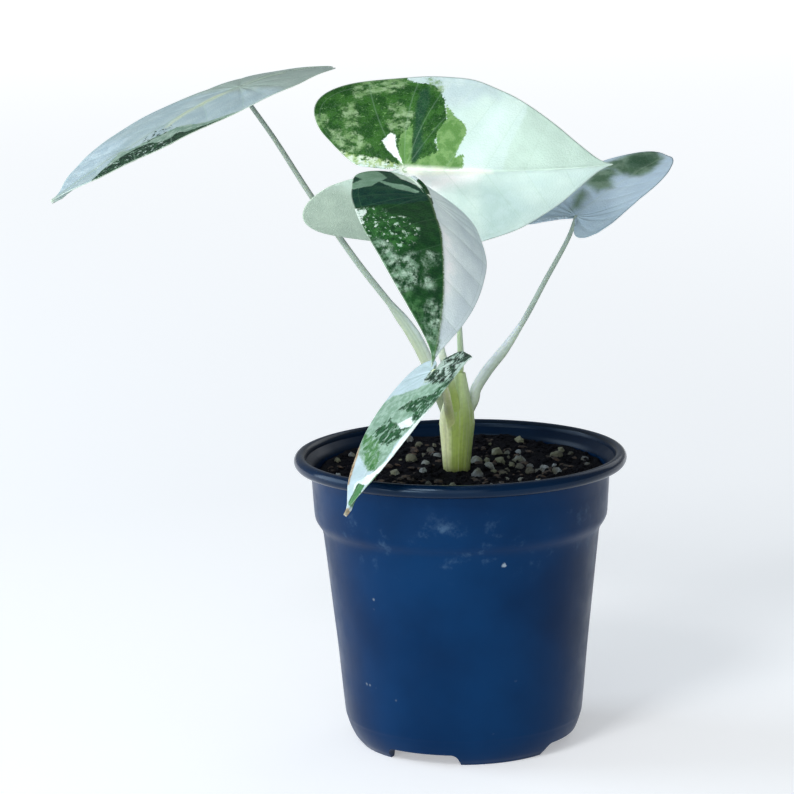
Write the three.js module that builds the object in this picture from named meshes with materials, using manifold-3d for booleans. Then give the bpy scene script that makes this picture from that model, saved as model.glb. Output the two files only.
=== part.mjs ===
// A young variegated arrow-leaved aroid in a round plastic nursery pot.
// Millimetres, +Z up, origin at the middle of the pot's underside, viewer on the -Y side.

import * as THREE from 'three';
import { mergeVertices } from 'three/addons/utils/BufferGeometryUtils.js';
import Module from 'manifold-3d';

const wasm = await Module();
wasm.setup();

// Driving dimensions of the pot
const RIM_RADIUS = 57.5;
const LIP_RADIUS = 53.2;
const POT_HEIGHT = 102;
const BAND_FOOT = 80;
const FOOT_RADIUS = 36.6;
const FOOT_WIDTH = 3;
const FLOOR_UNDERSIDE = 4.5;
const FLOOR_TOP = 6.2;
const FLOOR_RADIUS = 37;
const CENTRE_PAD_RADIUS = 9;
const POT_SEGMENTS = 52;
const NOTCH_COUNT = 4;
const NOTCH_WIDTH = 26;
const NOTCH_TOP_WIDTH = 20;
const NOTCH_HEIGHT = 4.2;
const NOTCH_TURN = -24;
const NOTCH_INNER = 26;
const NOTCH_OUTER = 46;
const DRAIN_RADIUS = 3.5;
const DRAIN_CIRCLE = 27;

// Driving dimensions of the soil and what stands in it
const CLEARANCE = 0.3;
const SOIL_LEVEL = 95.5;
const SOIL_BUMP = 1.1;
const SOIL_RISE = 2.4;
const SOIL_RADIUS = 49.7;
const SOIL_SEGMENTS = 44;
const SOIL_RING_STEP = 4;
const GRAIN_COUNT = 34;
const GRAIN_SEED = 11;
const GRAIN_NEAREST = 8;
const GRAIN_FARTHEST = 46;

// Driving dimensions of the plant
const CROWN_SIDES = 18;
const CROWN_STEPS = 20;
const BLADE = 0.8;
const MIDRIB_DEPTH = 0.9;
const VEIN_DEPTH = 0.25;
const OUTLINE_STEPS = 28;
const CLEFT_SHARE = 0.2;
const RING_PLACES = [0.22, 0.48, 0.76, 1];
const STEM_SIDES = 10;
const STEM_STEPS = 22;
const NECK_LENGTH = 3;
const NECK_END = 0.9;

const radians = THREE.MathUtils.degToRad;

// Seeded draw between 0 and 1, for the grains
function drawer(seed) {
  let state = seed;
  return function draw() {
    state = (state * 1664525 + 1013904223) % 4294967296;
    return state / 4294967296;
  };
}

// Merge shared corners and turn the faces outwards
function closedBody(geometry) {
  geometry.deleteAttribute('normal');
  geometry.deleteAttribute('uv');
  const body = mergeVertices(geometry, 1e-4);
  const place = body.attributes.position;
  const index = Array.from(body.index.array);
  const faces = [];
  let volume = 0;
  const corner = [new THREE.Vector3(), new THREE.Vector3(), new THREE.Vector3()];
  for (let i = 0; i < index.length; i += 3) {
    const [a, b, c] = index.slice(i, i + 3);
    if (a === b || b === c || c === a) continue;
    faces.push(a, b, c);
    [a, b, c].forEach((n, k) => corner[k].fromBufferAttribute(place, n));
    volume += corner[0].dot(corner[1].clone().cross(corner[2]));
  }
  if (volume < 0) {
    for (let i = 0; i < faces.length; i += 3) {
      [faces[i], faces[i + 1]] = [faces[i + 1], faces[i]];
    }
  }
  body.setIndex(faces);
  return body;
}

function toSolid(geometry) {
  const body = closedBody(geometry);
  const mesh = new wasm.Mesh({
    numProp: 3,
    vertProperties: new Float32Array(body.attributes.position.array),
    triVerts: new Uint32Array(body.index.array),
  });
  return new wasm.Manifold(mesh);
}

// The largest piece of a cut solid, with the loose scraps dropped
function toGeometry(solid) {
  const pieces = solid.decompose();
  pieces.sort((a, b) => b.volume() - a.volume());
  const mesh = pieces[0].getMesh();
  const geometry = new THREE.BufferGeometry();
  geometry.setAttribute('position', new THREE.BufferAttribute(mesh.vertProperties, 3));
  geometry.setIndex(new THREE.BufferAttribute(mesh.triVerts, 1));
  return geometry;
}

function bufferGeometry(points, faces) {
  const geometry = new THREE.BufferGeometry();
  const flat = points.flatMap((p) => [p.x, p.y, p.z]);
  geometry.setAttribute('position', new THREE.Float32BufferAttribute(flat, 3));
  geometry.setIndex(faces);
  return geometry;
}

// A turned body from a profile of [radius, height] pairs
function turned(profile, segments) {
  const points = profile.map(([r, z]) => new THREE.Vector2(r, z));
  const geometry = new THREE.LatheGeometry(points, segments);
  geometry.rotateX(Math.PI / 2);
  return geometry;
}

// The outer wall from the foot up to the band under the rim, as [radius, height]
const OUTER_WALL = [
  [FOOT_RADIUS, 0],
  [38.2, 2.5],
  [39.7, 5.5],
  [40.9, 9],
  [41.6, 13],
  [43.5, 34],
  [45.1, 49],
  [46.8, 65],
  [47.8, BAND_FOOT - 6],
  [48.4, BAND_FOOT - 4],
  [49.8, BAND_FOOT - 1.8],
  [50.6, BAND_FOOT],
  [51.7, POT_HEIGHT - 4.6],
];

// The inner wall, from the top down to the floor
const INNER_WALL = [
  [50.3, POT_HEIGHT - 5],
  [49.4, BAND_FOOT],
  [48.3, BAND_FOOT - 3],
  [47.0, BAND_FOOT - 6],
  [45.4, 63],
  [42.2, 34],
  [40.2, 13],
  [38.6, 8.5],
];

function rimBead() {
  const middle = (RIM_RADIUS + LIP_RADIUS) / 2;
  const halfWidth = (RIM_RADIUS - LIP_RADIUS) / 2;
  const halfHeight = 2.3;
  const bead = [];
  for (let k = 0; k <= 8; k += 1) {
    const turn = -Math.PI / 2 + (k / 8) * 1.5 * Math.PI;
    bead.push([
      middle + halfWidth * Math.cos(turn),
      POT_HEIGHT - halfHeight + halfHeight * Math.sin(turn),
    ]);
  }
  return bead;
}

function potGeometry() {
  const footInner = FOOT_RADIUS - FOOT_WIDTH;
  const profile = [
    [0, 0],
    [CENTRE_PAD_RADIUS, 0],
    [CENTRE_PAD_RADIUS + 0.6, FLOOR_UNDERSIDE],
    [footInner - 0.5, FLOOR_UNDERSIDE],
    [footInner, 0],
    ...OUTER_WALL,
    ...rimBead(),
    ...INNER_WALL,
    [FLOOR_RADIUS, FLOOR_TOP],
    [0, FLOOR_TOP],
  ];
  let pot = toSolid(turned(profile, POT_SEGMENTS));
  for (let k = 0; k < NOTCH_COUNT; k += 1) {
    const turn = radians(NOTCH_TURN + (k * 360) / NOTCH_COUNT);
    pot = pot.subtract(toSolid(notchGeometry(turn)));
    pot = pot.subtract(toSolid(drainGeometry(turn)));
  }
  return toGeometry(pot);
}

// One scallop of the foot, a wedge with sloping sides
function notchGeometry(turn) {
  const half = NOTCH_WIDTH / 2;
  const topHalf = NOTCH_TOP_WIDTH / 2;
  const outline = new THREE.Shape();
  outline.moveTo(-half, -1);
  outline.lineTo(half, -1);
  outline.lineTo(topHalf, NOTCH_HEIGHT);
  outline.lineTo(-topHalf, NOTCH_HEIGHT);
  const cut = new THREE.ExtrudeGeometry(outline, {
    depth: NOTCH_OUTER - NOTCH_INNER,
    bevelEnabled: false,
  });
  cut.rotateX(Math.PI / 2);
  cut.translate(0, -NOTCH_INNER, 0);
  cut.rotateZ(turn);
  return cut;
}

function drainGeometry(turn) {
  const hole = new THREE.CylinderGeometry(DRAIN_RADIUS, DRAIN_RADIUS, 6, 16);
  hole.rotateX(Math.PI / 2);
  hole.translate(DRAIN_CIRCLE * Math.sin(turn), -DRAIN_CIRCLE * Math.cos(turn), FLOOR_TOP);
  return hole;
}

// Height of the soil's crumbly surface over its level
function soilBump(x, y) {
  const coarse = Math.sin(0.31 * x + 1.3) * Math.cos(0.27 * y - 0.6);
  const middle = Math.sin(0.83 * x - 0.57 * y) * Math.cos(0.71 * y + 0.44 * x + 2);
  const fine = Math.sin(1.7 * x + 0.9 * y) * Math.sin(1.5 * y - 0.6 * x);
  const rise = (SOIL_RISE * Math.max(y, 0)) / SOIL_RADIUS;
  return rise + SOIL_BUMP * (0.45 * coarse + 0.35 * middle + 0.3 * fine);
}

function soilGeometry(crownHole) {
  const top = [];
  for (let r = 0; r < SOIL_RADIUS - SOIL_RING_STEP / 2; r += SOIL_RING_STEP) {
    top.push([r, SOIL_LEVEL]);
  }
  const profile = [
    ...top,
    [SOIL_RADIUS, SOIL_LEVEL],
    [49.0, BAND_FOOT],
    [46.6, BAND_FOOT - 6],
    [45.1, 63],
    [41.9, 34],
    [39.8, 13],
    [38.1, 8.5],
    [FLOOR_RADIUS - 0.4, FLOOR_TOP + CLEARANCE],
    [0, FLOOR_TOP + CLEARANCE],
  ];
  const body = turned(profile, SOIL_SEGMENTS);
  const place = body.attributes.position;
  for (let i = 0; i < place.count; i += 1) {
    const x = place.getX(i);
    const y = place.getY(i);
    if (Math.abs(place.getZ(i) - SOIL_LEVEL) < 0.01) place.setZ(i, SOIL_LEVEL + soilBump(x, y));
  }
  let soil = toSolid(body);
  const draw = drawer(GRAIN_SEED);
  for (let k = 0; k < GRAIN_COUNT; k += 1) {
    const reach = GRAIN_NEAREST + (GRAIN_FARTHEST - GRAIN_NEAREST) * Math.sqrt(draw());
    const turn = 2 * Math.PI * draw();
    const size = 1.5 + 1.1 * draw();
    const grain = new THREE.IcosahedronGeometry(size, 0);
    grain.scale(1, 0.8 + 0.4 * draw(), 0.75);
    grain.rotateZ(6 * draw());
    const x = reach * Math.cos(turn);
    const y = reach * Math.sin(turn);
    grain.translate(x, y, SOIL_LEVEL + soilBump(x, y) + 0.2 * size);
    soil = soil.add(toSolid(grain));
  }
  return toGeometry(soil.subtract(crownHole));
}

function smoothCurve(route) {
  return new THREE.CatmullRomCurve3(route.map((p) => new THREE.Vector3(...p)));
}

// A stem along a curve from place `from` to place `to` (0 to 1);
// widths(t) gives its half width and half depth
function sweep(curve, widths, steps, sides, from = 0, to = 1) {
  const points = [];
  const faces = [];
  const depthAxis = new THREE.Vector3(0, 1, 0);
  for (let i = 0; i <= steps; i += 1) {
    const t = from + ((to - from) * i) / steps;
    const middle = curve.getPointAt(t);
    const along = curve.getTangentAt(t);
    const across = new THREE.Vector3().crossVectors(along, depthAxis).normalize();
    const through = new THREE.Vector3().crossVectors(along, across).normalize();
    const [half, depth] = widths(t);
    for (let k = 0; k < sides; k += 1) {
      const turn = (2 * Math.PI * k) / sides;
      const point = middle.clone();
      point.addScaledVector(across, half * Math.cos(turn));
      point.addScaledVector(through, depth * Math.sin(turn));
      points.push(point);
    }
  }
  for (let i = 0; i < steps; i += 1) {
    for (let k = 0; k < sides; k += 1) {
      const a = i * sides + k;
      const b = i * sides + ((k + 1) % sides);
      faces.push(a, b, a + sides, b, b + sides, a + sides);
    }
  }
  for (const [ring, first] of [[0, true], [steps, false]]) {
    const middle = points.length;
    points.push(curve.getPointAt(first ? from : to));
    for (let k = 0; k < sides; k += 1) {
      const a = ring * sides + k;
      const b = ring * sides + ((k + 1) % sides);
      if (first) faces.push(b, a, middle);
      else faces.push(a, b, middle);
    }
  }
  return bufferGeometry(points, faces);
}

// Straight steps between [place, value] pairs
function between(pairs, t) {
  for (let i = 1; i < pairs.length; i += 1) {
    const [t0, ...from] = pairs[i - 1];
    const [t1, ...to] = pairs[i];
    if (t <= t1) {
      const share = (t - t0) / (t1 - t0);
      return from.map((value, k) => value + (to[k] - value) * share);
    }
  }
  return pairs[pairs.length - 1].slice(1);
}

// The crown: foot in the soil, thickest above it, narrowing to the middle stem
const CROWN_ROUTE = [
  [-1.4, -2, 74],
  [-1.4, -2, 95],
  [-1.0, -2, 112],
  [-0.6, -2, 121],
  [0, -2, 130],
];
const CROWN_WIDTHS = [
  [0, 2.6, 2.4],
  [0.37, 4.4, 3.9],
  [0.53, 5.2, 4.4],
  [0.68, 6.0, 4.8],
  [0.76, 5.6, 4.5],
  [0.86, 4.2, 3.6],
  [1, 2.2, 2.0],
];

function crownSweep(extra) {
  const widths = (t) => between(CROWN_WIDTHS, t).map((w) => w + extra);
  return sweep(smoothCurve(CROWN_ROUTE), widths, CROWN_STEPS, CROWN_SIDES);
}

// The five petioles: the route from the crown, which ends at the blade's junction,
// and [place, half width, half depth]
const PETIOLES = {
  left: {
    route: [
      [-4.2, -1, 115], [-8, -1, 125.5], [-11.5, 0, 135], [-15.9, 1, 143.5], [-22.6, 3, 152.6],
      [-34.8, 5, 168.6], [-49.4, 8, 190.2], [-61.6, 10, 209.9], [-70, 9.5, 222.5],
    ],
    widths: [[0, 2.6, 1.5], [0.1, 2.4, 1.3], [0.2, 2.5, 1.1], [0.3, 1.3, 1.1], [1, 0.8, 0.9]],
    colour: 0xb9c9a8,
  },
  middle: {
    route: [
      [0, -2, 127], [0.6, -2, 134.2], [0.5, -2, 141.3], [-0.1, -1, 152], [-2.3, 2, 166.6],
      [-6.9, 1, 181], [-12, -6, 194], [-16, -16, 202],
    ],
    widths: [[0, 1.6, 1.4], [0.2, 1.05, 1.05], [1, 0.95, 0.95]],
    colour: 0xa3b97f,
  },
  front: {
    route: [
      [-1.4, -5, 120], [-3.6, -7.5, 130], [-6.1, -11, 139.2], [-7.8, -18, 151], [-9, -29, 166],
      [-10, -41, 180], [-10.6, -51, 190.5],
    ],
    widths: [[0, 1.8, 1.3], [0.2, 1.3, 1.1], [1, 1, 1]],
    colour: 0xc4d2b0,
  },
  low: {
    route: [
      [-3.6, -4, 114], [-4, -10, 117.5], [-4.2, -17, 122.5], [-5.4, -22.3, 128.6],
    ],
    widths: [[0, 1.7, 1.4], [1, 1, 1]],
    colour: 0xb4c98a,
  },
  right: {
    route: [
      [1.8, 0, 113], [4.9, 1, 119.6], [5.9, 2, 123.5], [10, 4, 129.5], [15.8, 6, 136.2],
      [22.9, 9, 145.9], [30.7, 13, 159.1], [38.6, 17, 172.4],
    ],
    widths: [[0, 2.2, 1.4], [0.2, 2.1, 1.2], [0.33, 2, 1.1], [0.5, 1.15, 1], [1, 0.85, 0.85]],
    colour: 0xa8bca0,
  },
};

// A stretch of the stem of one leaf, given by how far its ends lie from the blade's junction
function stemStretch(petiole, blade, farEnd, nearEnd, steps) {
  const curve = smoothCurve([...petiole.route, blade.at]);
  const length = curve.getLength();
  const widths = (t) => between(petiole.widths, t);
  return sweep(curve, widths, steps, STEM_SIDES, 1 - farEnd / length, 1 - nearEnd / length);
}

// The petiole runs from the crown up to the neck under its blade
function petioleGeometry(petiole, blade, crownRoom) {
  const whole = smoothCurve([...petiole.route, blade.at]).getLength();
  const stem = stemStretch(petiole, blade, whole, NECK_LENGTH + CLEARANCE, STEM_STEPS);
  return toGeometry(toSolid(stem).subtract(crownRoom));
}

// The blade with its neck, the short last stretch of the stem, which grows into the midrib
function leafGeometry(petiole, blade) {
  const neck = stemStretch(petiole, blade, NECK_LENGTH, NECK_END, 1);
  return toGeometry(toSolid(bladeGeometry(blade)).add(toSolid(neck)));
}

// Half of the arrow-shaped outline in blade lengths: u along the midrib, v sideways,
// from the cleft behind the stalk, round the back lobe and along the margin to the tip
const HALF_OUTLINE = new THREE.CatmullRomCurve3(
  [
    [-0.015, 0.006], [-0.12, 0.028], [-0.24, 0.055], [-0.36, 0.11], [-0.445, 0.2],
    [-0.47, 0.3], [-0.42, 0.385], [-0.3, 0.445], [-0.12, 0.485], [0.08, 0.5],
    [0.28, 0.475], [0.46, 0.405], [0.62, 0.315], [0.75, 0.215], [0.85, 0.115],
    [0.92, 0.045], [0.96, 0.016], [1, 0],
  ].map(([u, v]) => new THREE.Vector3(u, v, 0)),
);

// Each blade: where it sits on its petiole, how it is turned (heading, pitch and roll),
// its length, and for both halves [right, left] the width, lobe length, lobe spread,
// cleft opening, fold and curl; arch bends the midrib and lobeArch the lobes, in degrees.
const BLADES = {
  left: {
    at: [-73.4, 8, 228.5], heading: 214, pitch: -16, roll: 16, length: 82.5,
    width: [0.98, 0.78], lobe: [1.19, 0.77], spread: [-0.12, -0.11], cleft: [0, 0],
    arch: [20, -9], lobeArch: 40, fold: [11, -10], curl: [-23, -10], colour: 0xd5e0e0,
  },
  middle: {
    at: [-17.4, -24, 203.2], heading: -18, pitch: 0, roll: 93, length: 71,
    width: [1, 1.07], lobe: [1.12, 0.98], spread: [0.03, 0.02], cleft: [0, -0.05],
    arch: [8, 36], lobeArch: -22, fold: [-25, -30], curl: [-32, -48], colour: 0xdbeee6,
  },
  front: {
    at: [-10.2, -55.2, 198.6], heading: -78, pitch: -18, roll: -26, length: 77,
    width: [0.66, 0.56], lobe: [0.83, 0.84], spread: [-0.08, -0.13], cleft: [0, 0],
    arch: [34, 16], lobeArch: 50, fold: [-18, -9], curl: [-56, -12], colour: 0x44684f,
  },
  low: {
    at: [-8.8, -26.1, 135.1], heading: -126, pitch: -30, roll: 24, length: 67.7,
    width: [0.62, 0.51], lobe: [0.33, 0.26], spread: [0.05, -0.13], cleft: [0, 0],
    arch: [11, -1], lobeArch: 11, fold: [0, 0], curl: [-11, -7], colour: 0x9dbfb0,
  },
  right: {
    at: [42, 20.1, 180.3], heading: 42, pitch: 27, roll: -23, length: 51.3,
    width: [0.98, 1.07], lobe: [0.61, 0.64], spread: [0.24, 0.22], cleft: [0, 0.09],
    arch: [16, -4], lobeArch: -26, fold: [-24, 46], curl: [44, -90], colour: 0xa9bccb,
  },
};

// The blade's own directions: along the midrib, out of its upper face, and to its right
function bladeFrame(blade) {
  const h = radians(blade.heading);
  const p = radians(blade.pitch);
  const r = radians(blade.roll);
  const along = new THREE.Vector3(Math.cos(p) * Math.cos(h), Math.cos(p) * Math.sin(h), Math.sin(p));
  const level = new THREE.Vector3(-Math.sin(p) * Math.cos(h), -Math.sin(p) * Math.sin(h), Math.cos(p));
  const sideways = new THREE.Vector3().crossVectors(along, level);
  const up = level.multiplyScalar(Math.cos(r)).addScaledVector(sideways, Math.sin(r));
  const right = new THREE.Vector3().crossVectors(along, up);
  return { along, up, right };
}

// Average of cos and sin of an angle that grows from first by linear and square terms
function bendMeans(first, linear, square) {
  const steps = 16;
  let cos = 0;
  let sin = 0;
  for (let i = 0; i < steps; i += 1) {
    const s = (i + 0.5) / steps;
    const angle = first + linear * s + square * s * s;
    cos += Math.cos(angle) / steps;
    sin += Math.sin(angle) / steps;
  }
  return [cos, sin];
}

// The upper face of a blade at u along and v across, in millimetres
function bladePoint(blade, frame, u, v) {
  const t = u / blade.length;
  const linear = radians(t > 0 ? blade.arch[0] : blade.lobeArch) * t;
  const square = t > 0 ? radians(blade.arch[1]) * t * t : 0;
  const [ahead, drop] = bendMeans(0, linear, square);
  const bend = linear + square;
  const half = v > 0 ? 0 : 1;
  const reach = Math.abs(v);
  const curl = (radians(blade.curl[half]) * reach) / blade.length;
  const [across, rise] = bendMeans(radians(blade.fold[half]), curl, 0);
  const point = new THREE.Vector3(...blade.at);
  point.addScaledVector(frame.along, u * ahead + reach * rise * Math.sin(bend));
  point.addScaledVector(frame.up, -u * drop + reach * rise * Math.cos(bend));
  point.addScaledVector(frame.right, v * across);
  return point;
}

// Edge point j of one half, in millimetres
function outlinePoint(blade, side, j) {
  const half = side > 0 ? 0 : 1;
  const point = HALF_OUTLINE.getPoint(j / OUTLINE_STEPS);
  let u = point.x;
  let v = point.y * blade.width[half];
  const inCleft = Math.min(j / OUTLINE_STEPS / CLEFT_SHARE, 1);
  if (u < 0) v -= blade.spread[half] * u * Math.min(1, -6 * u);
  if (u < 0) v += blade.cleft[half] * Math.sin(Math.PI * inCleft) ** 2;
  if (u < -0.02) v = Math.max(v, 0.012 + 0.05 * Math.min(-u, 0.3));
  if (u < 0) u *= blade.lobe[half];
  return [u * blade.length, side * v * blade.length];
}

// A blade as a closed body
function bladeGeometry(blade) {
  const frame = bladeFrame(blade);
  const points = [];
  const faces = [];
  const nudge = 0.4;
  const addPair = (u, v, side, depth) => {
    const place = bladePoint(blade, frame, u, v);
    const away = side === 0 ? nudge : side * nudge;
    const ahead = bladePoint(blade, frame, u + nudge, v).sub(place);
    const beside = bladePoint(blade, frame, u, v + away).sub(place);
    if (side === 0) beside.sub(bladePoint(blade, frame, u, v - nudge).sub(place));
    const out = new THREE.Vector3().crossVectors(beside, ahead);
    if (side < 0) out.negate();
    out.normalize();
    points.push(place);
    points.push(place.clone().addScaledVector(out, -BLADE - depth));
    return points.length / 2 - 1;
  };
  const top = (n) => 2 * n;
  const under = (n) => 2 * n + 1;
  const patch = (a, b, c, flip) => {
    const order = flip ? [a, c, b] : [a, b, c];
    faces.push(...order.map(top), ...[...order].reverse().map(under));
  };
  const middle = addPair(0, 0, 0, MIDRIB_DEPTH);
  const midrib = RING_PLACES.map((ring) => addPair(ring * blade.length, 0, 0, MIDRIB_DEPTH * (1 - ring)));
  const edges = [];
  for (const side of [1, -1]) {
    const flip = side < 0;
    const rays = [];
    for (let j = 0; j < OUTLINE_STEPS; j += 1) {
      const [u, v] = outlinePoint(blade, side, j);
      const vein = j % 4 === 2 ? VEIN_DEPTH : 0;
      rays.push(RING_PLACES.map((ring) => addPair(u * ring, v * ring, side, vein * (1.2 - ring))));
    }
    rays.push(midrib);
    for (let j = 0; j < OUTLINE_STEPS; j += 1) {
      patch(middle, rays[j + 1][0], rays[j][0], flip);
      for (let k = 1; k < RING_PLACES.length; k += 1) {
        patch(rays[j][k - 1], rays[j + 1][k - 1], rays[j][k], flip);
        patch(rays[j + 1][k - 1], rays[j + 1][k], rays[j][k], flip);
      }
    }
    const last = RING_PLACES.length - 1;
    edges.push([middle, ...rays[0], ...rays.slice(1).map((ray) => ray[last])]);
  }
  edges.forEach((edge, n) => {
    for (let i = 1; i < edge.length; i += 1) {
      const [a, b] = n === 0 ? [edge[i - 1], edge[i]] : [edge[i], edge[i - 1]];
      faces.push(top(a), top(b), under(a), top(b), under(b), under(a));
    }
  });
  return bufferGeometry(points, faces);
}

function mesh(name, geometry, colour, roughness) {
  const material = new THREE.MeshStandardMaterial({ color: colour, roughness, metalness: 0 });
  const object = new THREE.Mesh(geometry, material);
  object.name = name;
  return object;
}

const group = new THREE.Group();
const holder = new THREE.Group();
const plant = new THREE.Group();
group.add(holder, plant);

holder.add(mesh('pot', potGeometry(), 0x1f4068, 0.5));
holder.add(mesh('soil', soilGeometry(toSolid(crownSweep(CLEARANCE))), 0x17130f, 0.95));

plant.add(mesh('crown', closedBody(crownSweep(0)), 0xa9bd62, 0.5));
const crownRoom = toSolid(crownSweep(CLEARANCE));
for (const name of Object.keys(PETIOLES)) {
  const petiole = PETIOLES[name];
  const blade = BLADES[name];
  const stem = petioleGeometry(petiole, blade, crownRoom);
  plant.add(mesh(`petiole_${name}`, stem, petiole.colour, 0.55));
  plant.add(mesh(`leaf_${name}`, leafGeometry(petiole, blade), blade.colour, 0.6));
}

export default group;
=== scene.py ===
import math
import random

import bpy
import numpy as np
from mathutils import Matrix, Vector, noise


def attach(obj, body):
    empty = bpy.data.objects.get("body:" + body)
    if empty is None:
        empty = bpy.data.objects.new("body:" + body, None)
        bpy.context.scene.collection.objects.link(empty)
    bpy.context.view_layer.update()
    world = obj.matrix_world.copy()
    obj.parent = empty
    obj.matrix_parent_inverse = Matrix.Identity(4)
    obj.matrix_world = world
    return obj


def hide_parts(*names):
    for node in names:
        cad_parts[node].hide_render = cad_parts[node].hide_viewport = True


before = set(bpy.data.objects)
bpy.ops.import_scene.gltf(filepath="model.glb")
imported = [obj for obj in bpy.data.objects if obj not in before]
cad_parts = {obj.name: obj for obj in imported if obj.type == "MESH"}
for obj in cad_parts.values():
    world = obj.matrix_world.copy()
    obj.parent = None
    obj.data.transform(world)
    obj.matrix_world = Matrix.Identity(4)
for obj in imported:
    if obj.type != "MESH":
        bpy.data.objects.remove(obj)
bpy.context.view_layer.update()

# Camera. The plant is seen from a little above the rim, a metre and a quarter away,
# through a long lens. Places are in millimetres here and turned to metres by MM.
MM = 0.001
CAMERA_PLACE = (-21.45, -1223.0, 360.4)
CAMERA_PITCH = 11.06
CAMERA_ROLL = -1.04
LENS = 163.94

bpy.ops.object.camera_add()
camera = bpy.context.object
camera.name = "camera"
camera.data.lens = LENS
camera.data.sensor_width = 36
camera.data.clip_end = 60
camera.matrix_world = (
    Matrix.Translation(Vector(CAMERA_PLACE) * MM)
    @ Matrix.Rotation(math.radians(90 - CAMERA_PITCH), 4, "X")
    @ Matrix.Rotation(math.radians(CAMERA_ROLL), 4, "Z")
)
bpy.context.scene.camera = camera
bpy.context.scene.view_settings.view_transform = "Standard"


# Floor and light. A wide pale floor, an even pale surround, three large soft lamps in
# front, one at the left side and one behind. None of it belongs to the plant.
def srgb(red, green, blue):
    """A colour given as 0 to 255 on screen, as Blender's linear colour"""
    channels = [c / 255 for c in (red, green, blue)]
    linear = [c / 12.92 if c <= 0.04045 else ((c + 0.055) / 1.055) ** 2.4 for c in channels]
    return (*linear, 1.0)


def fill_inputs(tree, node, inputs):
    """Links each named input to a socket, or sets it where the value is a constant"""
    for name, value in inputs.items():
        if isinstance(value, bpy.types.NodeSocket):
            tree.links.new(value, node.inputs[name])
        else:
            node.inputs[name].default_value = value


def add_node(tree, kind, inputs=None, **settings):
    node = tree.nodes.new(kind)
    for name, value in settings.items():
        setattr(node, name, value)
    fill_inputs(tree, node, inputs or {})
    return node


def new_material(name):
    material = bpy.data.materials.new(name)
    material.use_nodes = True
    return material, material.node_tree, material.node_tree.nodes["Principled BSDF"]


def place_on_piece(tree):
    return add_node(tree, "ShaderNodeTexCoord").outputs["Object"]


FLOOR_SIZE = 40
GLOW_RANGE = (0.4, 3.5)
GLOW_STRENGTH = (0.36, 1.0)
floor_paint, tree, shader = new_material("pale_floor_paint")
away = add_node(
    tree, "ShaderNodeVectorMath", {0: place_on_piece(tree)}, operation="LENGTH"
).outputs["Value"]
glow = add_node(
    tree, "ShaderNodeMapRange",
    {"Value": away, "From Min": GLOW_RANGE[0], "From Max": GLOW_RANGE[1],
     "To Min": GLOW_STRENGTH[0], "To Max": GLOW_STRENGTH[1]},
).outputs["Result"]
fill_inputs(tree, shader, {
    "Base Color": srgb(225, 228, 232), "Roughness": 0.95, "Specular IOR Level": 0.1,
    "Emission Color": (1, 1, 1, 1), "Emission Strength": glow,
})
bpy.ops.object.select_all(action="DESELECT")
bpy.ops.mesh.primitive_plane_add(size=FLOOR_SIZE)
floor = bpy.context.object
floor.name = "floor"
floor.data.materials.append(floor_paint)

world = bpy.data.worlds.new("pale_surround")
bpy.context.scene.world = world
world.use_nodes = True
world.node_tree.nodes["Background"].inputs["Color"].default_value = srgb(236, 244, 250)
world.node_tree.nodes["Background"].inputs["Strength"].default_value = 0.3


def add_lamp(name, place, target, size, watts, colour, height=None):
    bpy.ops.object.light_add(type="AREA", location=place)
    lamp = bpy.context.object
    lamp.name = name
    lamp.data.shape = "RECTANGLE"
    lamp.data.size = size
    lamp.data.size_y = height or size
    lamp.data.energy = watts
    lamp.data.color = colour
    aim = Vector(target) - Vector(place)
    lamp.rotation_euler = aim.to_track_quat("-Z", "Y").to_euler()


add_lamp("key_lamp", (-0.7, -1.3, 1.3), (0, 0, 0.15), 0.45, 13, (1.0, 0.99, 0.97))
add_lamp("front_lamp", (-0.2, -1.8, 0.55), (0, 0, 0.13), 1.4, 9, (1.0, 1.0, 1.0))
add_lamp("low_lamp", (-1.03, -1.23, 0.3), (0, 0, 0.1), 0.8, 11, (1.0, 1.0, 0.98), 0.45)
add_lamp("side_lamp", (-1.5, 0.3, 0.6), (0, 0, 0.12), 1.0, 14, (0.8, 0.9, 1.0))
add_lamp("back_lamp", (0.9, 1.3, 1.0), (0, 0, 0.16), 1.0, 2.5, (1.0, 1.0, 1.0))


# Nursery pot: one thin moulding of blue polypropylene with a rolled rim, a band and a step
# under it, a tapered wall, and a foot cut away in four scallops for the drain holes.
RIM_RADIUS = 57.5
LIP_RADIUS = 53.2
POT_HEIGHT = 102
FOOT_RADIUS = 36.6
FOOT_WIDTH = 3
FLOOR_UNDERSIDE = 4.5
FLOOR_TOP = 6.2
PAD_RADIUS = 9
POT_SIDES = 160
BEAD_HALF_HEIGHT = 2.3
BEAD_STEPS = 24
BEAD_TURN = 270
WALL_STEPS = 40
SCALLOP_TURNS = [-24, 66, 156, 246]
SCALLOP_MIDDLE = 36
SCALLOP_SIZE = (26, 20, 8.4)
SCALLOP_ROUNDING = 2.2
DRAIN_RADIUS = 3.5
DRAIN_CIRCLE = 27
DRAIN_DEPTH = 6
SHARP_ANGLE = 38


def smooth_path(points, places):
    """Points on the smooth curve through the given ones, at places from 0 to 1"""
    p = np.array(points, float)
    p = np.vstack([2 * p[0] - p[1], p, 2 * p[-1] - p[-2]])
    x = np.clip(np.asarray(places, float), 0, 1) * (len(points) - 1)
    i = np.minimum(x.astype(int), len(points) - 2)
    t = (x - i)[:, None]
    a, b, c, d = p[i], p[i + 1], p[i + 2], p[i + 3]
    return 0.5 * (
        2 * b + (c - a) * t + (2 * a - 5 * b + 4 * c - d) * t**2 + (3 * b - a - 3 * c + d) * t**3
    )


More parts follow.
